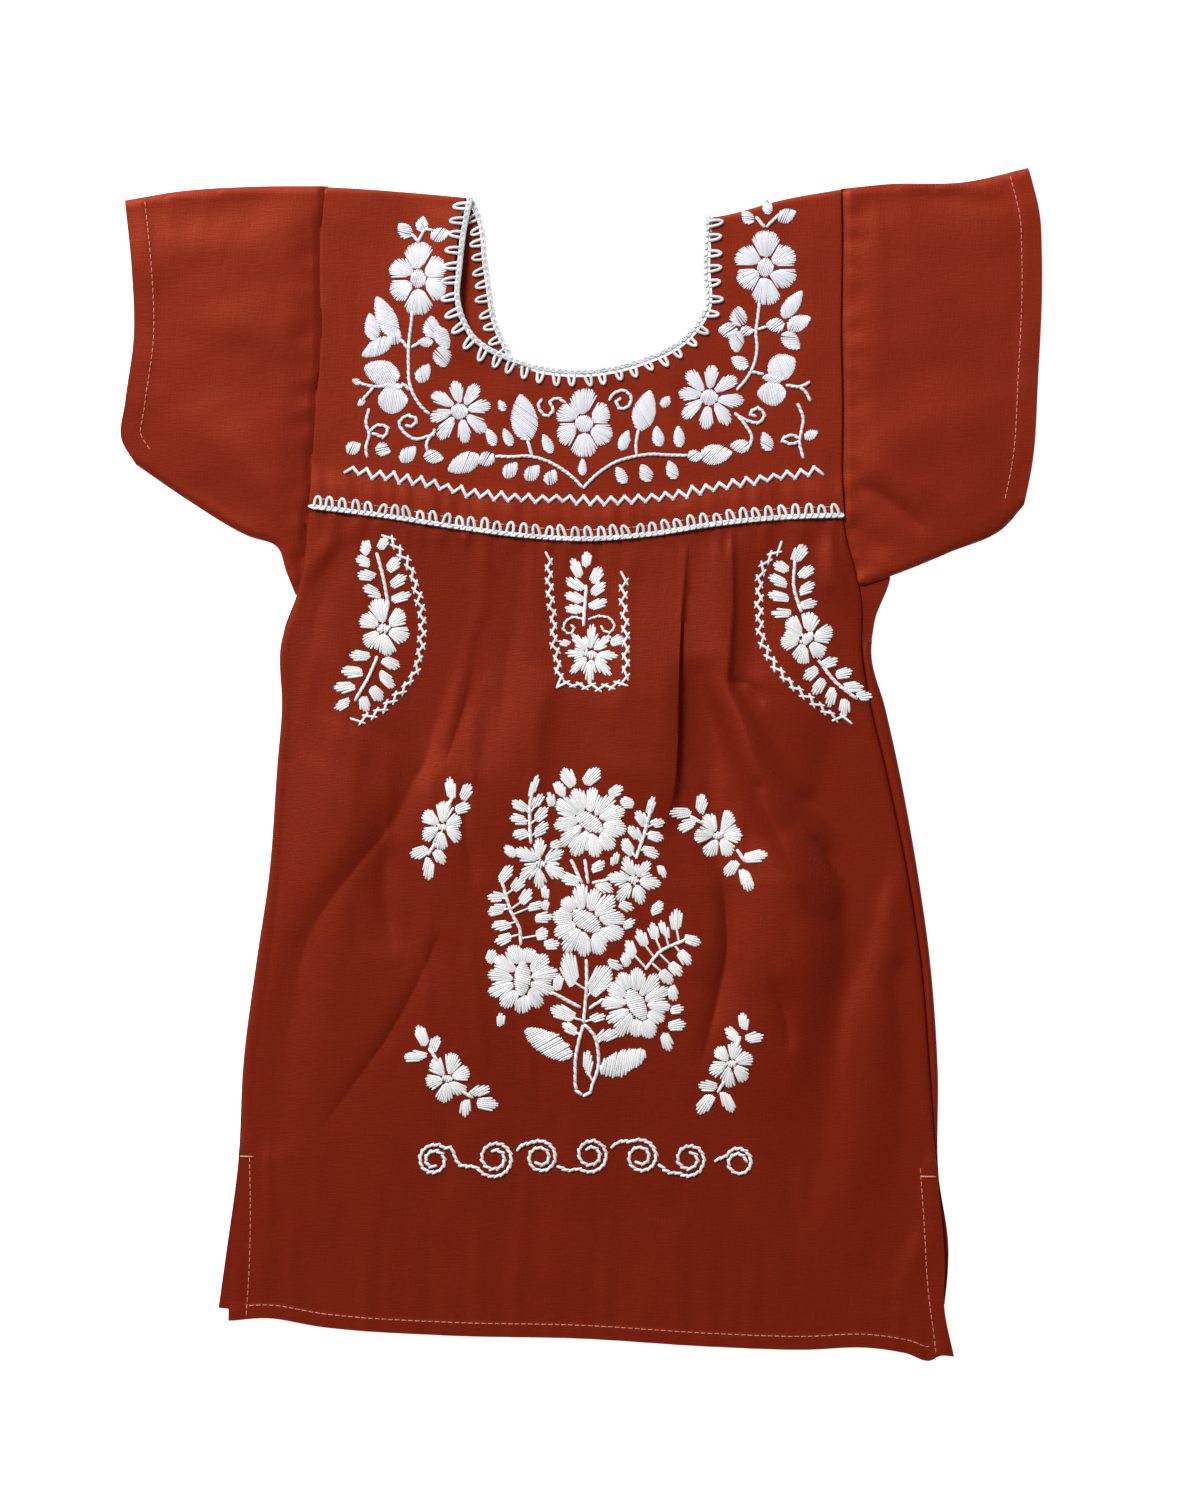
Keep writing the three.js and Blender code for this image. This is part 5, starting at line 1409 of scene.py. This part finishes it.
class DRESS_OT_yoke(bpy.types.Operator):
    """Makes the yoke, front and back in one, folded at the shoulders"""

    bl_idname = "dress.yoke"
    bl_label = "Yoke"

    def execute(self, context):
        sizes, _ = settings(context)
        front, faces = triangles(self.cut(NECK_FRONT), sizes.spacing * 0.85)
        top = yoke_top(front)
        parts = [shell(front, faces, top, top - sizes.cloth)]
        back, faces = triangles(self.cut(NECK_BACK), sizes.spacing * 1.2)
        low = lift(back, 4, 40, 80, 0.5, height=0.15) * ease(distance(back, SHOULDER_FOLD, 20) / 20)
        low += rounding(back, SHOULDER_FOLD, EDGE_ROUND, FOLD_RISE - sizes.cloth)
        parts.append(shell(back, faces, low + sizes.cloth, low))
        # The yoke takes the lighter dye, which is painted sheen.
        cloth_object(context, "yoke_cloth", parts, "yoke", "yoke", True)
        return {"FINISHED"}

    def cut(self, neck):
        """The outline of one half of the yoke, with its side of the neck cut out."""
        left, right = (curve(column(YOKE_SIDES, side, "y")) for side in ("left", "right"))
        line = curve(neck, 1.2)
        for edge in (left, right):
            edge[0, 1], edge[-1, 1] = shoulder(edge[0, 0]), yoke_lower(edge[-1, 0])
        line[0, 1], line[-1, 1] = shoulder(line[0, 0]), shoulder(line[-1, 0])
        strap_left = shoulder_line(line[0, 0], left[0, 0], 34)
        strap_right = shoulder_line(right[0, 0], line[-1, 0], 32)
        foot = yoke_edge(np.linspace(left[-1, 0], right[-1, 0], 120))
        return outline(foot, right[::-1], strap_right, line[::-1], strap_left, left)


class DRESS_OT_yoke_embroidery(bpy.types.Operator):
    """Works the flowers, leaves and stems of the yoke in fine satin and stem stitch"""

    bl_idname = "dress.yoke_embroidery"
    bl_label = "Yoke Embroidery"

    def execute(self, context):
        sizes, colours = settings(context)
        floss = cotton_thread("white stranded floss, yoke", tuple(colours.yoke_floss), ply=0.35 * MM,
                              gloss=1.0)
        blooms = Needle(yoke_top, sizes.floss, seed=31)
        for row in YOKE_FLOWERS:
            blooms.flower(row)
        for row in YOKE_WINGS:
            blooms.leaf(row, slant=8, blunt=0.9, full=0.6)
        mesh_object("yoke_flowers", blooms.parts, floss)
        leaves = Needle(yoke_top, sizes.floss, seed=32)
        for row in YOKE_LEAVES + YOKE_BODIES:
            leaves.leaf(row)
        mesh_object("yoke_leaves", leaves.parts, floss)
        stems = Needle(yoke_top, width=1.4, seed=33)
        for points in YOKE_STEMS:
            stems.stem(points)
        stems.zigzag(YOKE_ZIGZAG, pitch=6.1, height=3.2, overshoot=0.18, width=1.5)
        mesh_object("yoke_stems", stems.parts, floss)
        return {"FINISHED"}


class DRESS_OT_front_embroidery(bpy.types.Operator):
    """Works the bouquet, sprigs, crescents and scrolls of the front in straight stitches"""

    bl_idname = "dress.front_embroidery"
    bl_label = "Front Embroidery"

    def execute(self, context):
        sizes, colours = settings(context)
        floss = cotton_thread("white stranded floss, front", tuple(colours.skirt_floss), ply=0.4 * MM,
                              gloss=0.7)
        for seed, (name, work) in enumerate(MOTIFS.items(), 41):
            needle = Needle(front_top, sizes.thick_floss, seed)
            for points in work.stems:
                needle.stem(points, length=4.4, slant=5, width=1.5)
            for points in work.herringbone:
                needle.herringbone(points)
            for points in work.curls:
                needle.stem(points, length=3.2, slant=8, width=1.0)
            for row in work.leaves:
                needle.sprig(row, work.stems if work.tied else ())
            for row in work.loose:
                needle.sprig(row)
            for row in work.big_leaves:
                needle.leaf(row, slant=30, blunt=0.9, full=0.55, uneven=0.35)
            for row in work.flowers:
                needle.flower(row)
            mesh_object(f"embroidery_{name}", needle.parts, floss)
        needle = Needle(front_top, width=1.35, seed=61)
        for row in SCROLLS:
            f = np.linspace(0, 1, 40)
            turn = np.radians(row.start + 360 * row.turns * f)
            radius = row.outer + (row.inner - row.outer) * f**0.85
            spiral = np.column_stack([row.x + radius * np.cos(turn), row.y + radius * np.sin(turn)])
            needle.stem(np.concatenate([row.lead, spiral]), length=3.8, slant=13)
        mesh_object("embroidery_scrolls", needle.parts, floss)
        return {"FINISHED"}


class DRESS_OT_topstitching(bpy.types.Operator):
    """Sews the machine stitching of cuffs, slits, hem and yoke"""

    bl_idname = "dress.topstitching"
    bl_label = "Topstitching"

    def execute(self, context):
        _, colours = settings(context)
        thread = cotton_thread("spun polyester sewing thread", tuple(colours.sewing), ply=0.2 * MM, gloss=0.5)
        needle = Needle(front_top, SEWING_WIDTH, seed=71)
        for line in (beside(FRONT_FOOT, HEM_WIDTH)[5:-4], *SLIT_STITCHING):
            needle.dashes(line)
        needle.straight(*SLIT_BARS, rise=0.3, width=0.8)
        mesh_object("topstitching_front", needle.parts, thread)
        for side, edges in SLEEVE_EDGES.items():
            needle = Needle(lambda plan: sleeve_top(side, plan), SEWING_WIDTH, seed=72)
            needle.dashes(beside(edges.cuff, CUFF_HEM if side == "left" else -CUFF_HEM)[1:])
            mesh_object(f"topstitching_{side}_cuff", needle.parts, thread)
        needle = Needle(yoke_top, width=0.5, seed=74)
        needle.dashes(yoke_edge(np.linspace(-120, 115, 60)) + [0, 2.6], share=0.7)
        mesh_object("topstitching_yoke", needle.parts, thread)
        return {"FINISHED"}


class DRESS_OT_crochet(bpy.types.Operator):
    """Crochets the edging of the neck and of the yoke seam"""

    bl_idname = "dress.crochet"
    bl_label = "Crochet"

    def execute(self, context):
        _, colours = settings(context)
        yarn = cotton_thread("crochet cotton, four ply", tuple(colours.crochet), ply=0.5 * MM, gloss=0.4)
        inner, outer = beside(curve(NECK_FRONT, 1.0), 2.3), beside(curve(NECK_BACK, 1.0), 1.4)
        parts = [
            chain(inner, yoke_top, height=0.2, width=3.3, pitch=2.8, thread=1.5),
            chain(inner, yoke_top, height=-0.6, width=2.8, pitch=3.1, thread=1.4),
            chain(outer, self.back_top, height=0.1, width=3.0, pitch=3.0, thread=1.3),
            picots(inner, yoke_top, 0.8, depth=-5.7, width=2.7, pitch=6.7, thread=1.4, height=0.1, seed=81),
            picots(outer, self.back_top, 0.8, depth=-5.0, width=2.7, pitch=6.2, thread=1.25, height=0.1,
                   seed=82)]
        mesh_object("crochet_neck", parts, yarn, ["neck_edging"])
        seam = yoke_edge(np.linspace(117, -122, 120)) - [0, 1.3]
        parts = [
            chain(seam, yoke_top, height=-0.3, width=3.0, pitch=2.9, thread=1.3),
            picots(seam, yoke_top, 0.7, depth=-4.4, width=3.0, pitch=5.9, thread=1.35, height=0, seed=83)]
        mesh_object("crochet_yoke", parts, yarn, ["yoke_edging"])
        return {"FINISHED"}

    def back_top(self, plan):
        """Height of the inside of the back of the yoke, which shows in the neck."""
        return np.full(len(plan), 0.8)


# Studio, in metres and watts.
FLOOR_HALF = 9.0
WINDOW_PLACE = Vector((-2.15, 3.64, 3.12))       # from the middle of the dress
WINDOW_SIZE = 1.6
WINDOW_POWER = 388
AIR_LIGHT = 0.2
CAMERA_PLACE = Vector((0.0083, 0.0063, 1.6))
VIEW_HEIGHT = 0.675              # what the camera sees of the dress's plane from top to bottom


class DRESS_OT_studio(bpy.types.Operator):
    """Lays the pale floor, and sets the soft light and the camera straight above"""

    bl_idname = "dress.studio"
    bl_label = "Studio"

    def execute(self, context):
        scene = context.scene
        colours = scene.dress_colours
        floor = bpy.data.meshes.new("studio_floor")
        corners = [(-1, -1, 0), (1, -1, 0), (1, 1, 0), (-1, 1, 0)]
        floor.from_pydata([FLOOR_HALF * Vector(corner) for corner in corners], [], [(0, 1, 2, 3)])
        floor.materials.append(seamless_paper("white background paper", tuple(colours.paper), glow=0.95))
        ground = bpy.data.objects.new("studio_floor", floor)
        ground.location.z = -0.1 * MM
        scene.collection.objects.link(ground)

        self.softbox(scene)
        world = bpy.data.worlds.new("studio_air")
        world.use_nodes = True
        air = world.node_tree.nodes["Background"].inputs
        air["Color"].default_value = (1, 1, 1, 1)
        air["Strength"].default_value = AIR_LIGHT
        scene.world = world
        scene.view_settings.view_transform = "Standard"

        camera = bpy.data.cameras.new("camera_above")
        camera.sensor_width = 36
        camera.lens = camera.sensor_width * (CAMERA_PLACE.z - STACK * MM) / VIEW_HEIGHT
        seen = bpy.data.objects.new("camera_above", camera)
        seen.location = CAMERA_PLACE
        scene.collection.objects.link(seen)
        scene.camera = seen
        return {"FINISHED"}

    def softbox(self, scene):
        """A square softbox that stands in for a window, turned towards the middle of the dress."""
        lamp = bpy.data.lights.new("window", "AREA")
        lamp.energy = WINDOW_POWER
        lamp.shape = "SQUARE"
        lamp.size = WINDOW_SIZE
        made = bpy.data.objects.new("window", lamp)
        made.location = sum(CAD_BOX, Vector()) / 2 + WINDOW_PLACE
        made.rotation_mode = "QUATERNION"
        made.rotation_quaternion = WINDOW_PLACE.to_track_quat("Z", "Y")
        scene.collection.objects.link(made)


class DRESS_OT_sheets(bpy.types.Operator):
    """Does nothing: to what size each piece of cloth was cut, what it lies on and what is sewn to it stand
    only in SHEETS
    """

    bl_idname = "dress.sheets"
    bl_label = "Sheets"

    def execute(self, context):
        return {"FINISHED"}


class VIEW3D_PT_dress(bpy.types.Panel):
    """Offers the steps and their settings"""

    bl_label = "Embroidered Dress"
    bl_space_type = "VIEW_3D"
    bl_region_type = "UI"
    bl_category = "Dress"

    def draw(self, context):
        for step in STEPS:
            self.layout.operator(step.bl_idname)
        for group in (context.scene.dress_sizes, context.scene.dress_colours):
            for name in group.bl_rna.properties.keys():
                if name not in {"rna_type", "name"}:
                    self.layout.prop(group, name)


STEPS = (DRESS_OT_studio, DRESS_OT_back, DRESS_OT_sleeves, DRESS_OT_front, DRESS_OT_yoke, DRESS_OT_crochet,
         DRESS_OT_yoke_embroidery, DRESS_OT_front_embroidery, DRESS_OT_topstitching, DRESS_OT_sheets)
CLASSES = (DressSizes, DressColours, *STEPS, VIEW3D_PT_dress)


def register():
    """Adds the settings, the steps and the panel."""
    for item in CLASSES:
        bpy.utils.register_class(item)
    bpy.types.Scene.dress_sizes = PointerProperty(type=DressSizes)
    bpy.types.Scene.dress_colours = PointerProperty(type=DressColours)


def unregister():
    """Takes them away again."""
    del bpy.types.Scene.dress_colours
    del bpy.types.Scene.dress_sizes
    for item in reversed(CLASSES):
        bpy.utils.unregister_class(item)


def main():
    """Builds the dress."""
    register()
    for step in STEPS:
        group, name = step.bl_idname.split(".")
        getattr(getattr(bpy.ops, group), name)()


if __name__ == "__main__":
    main()
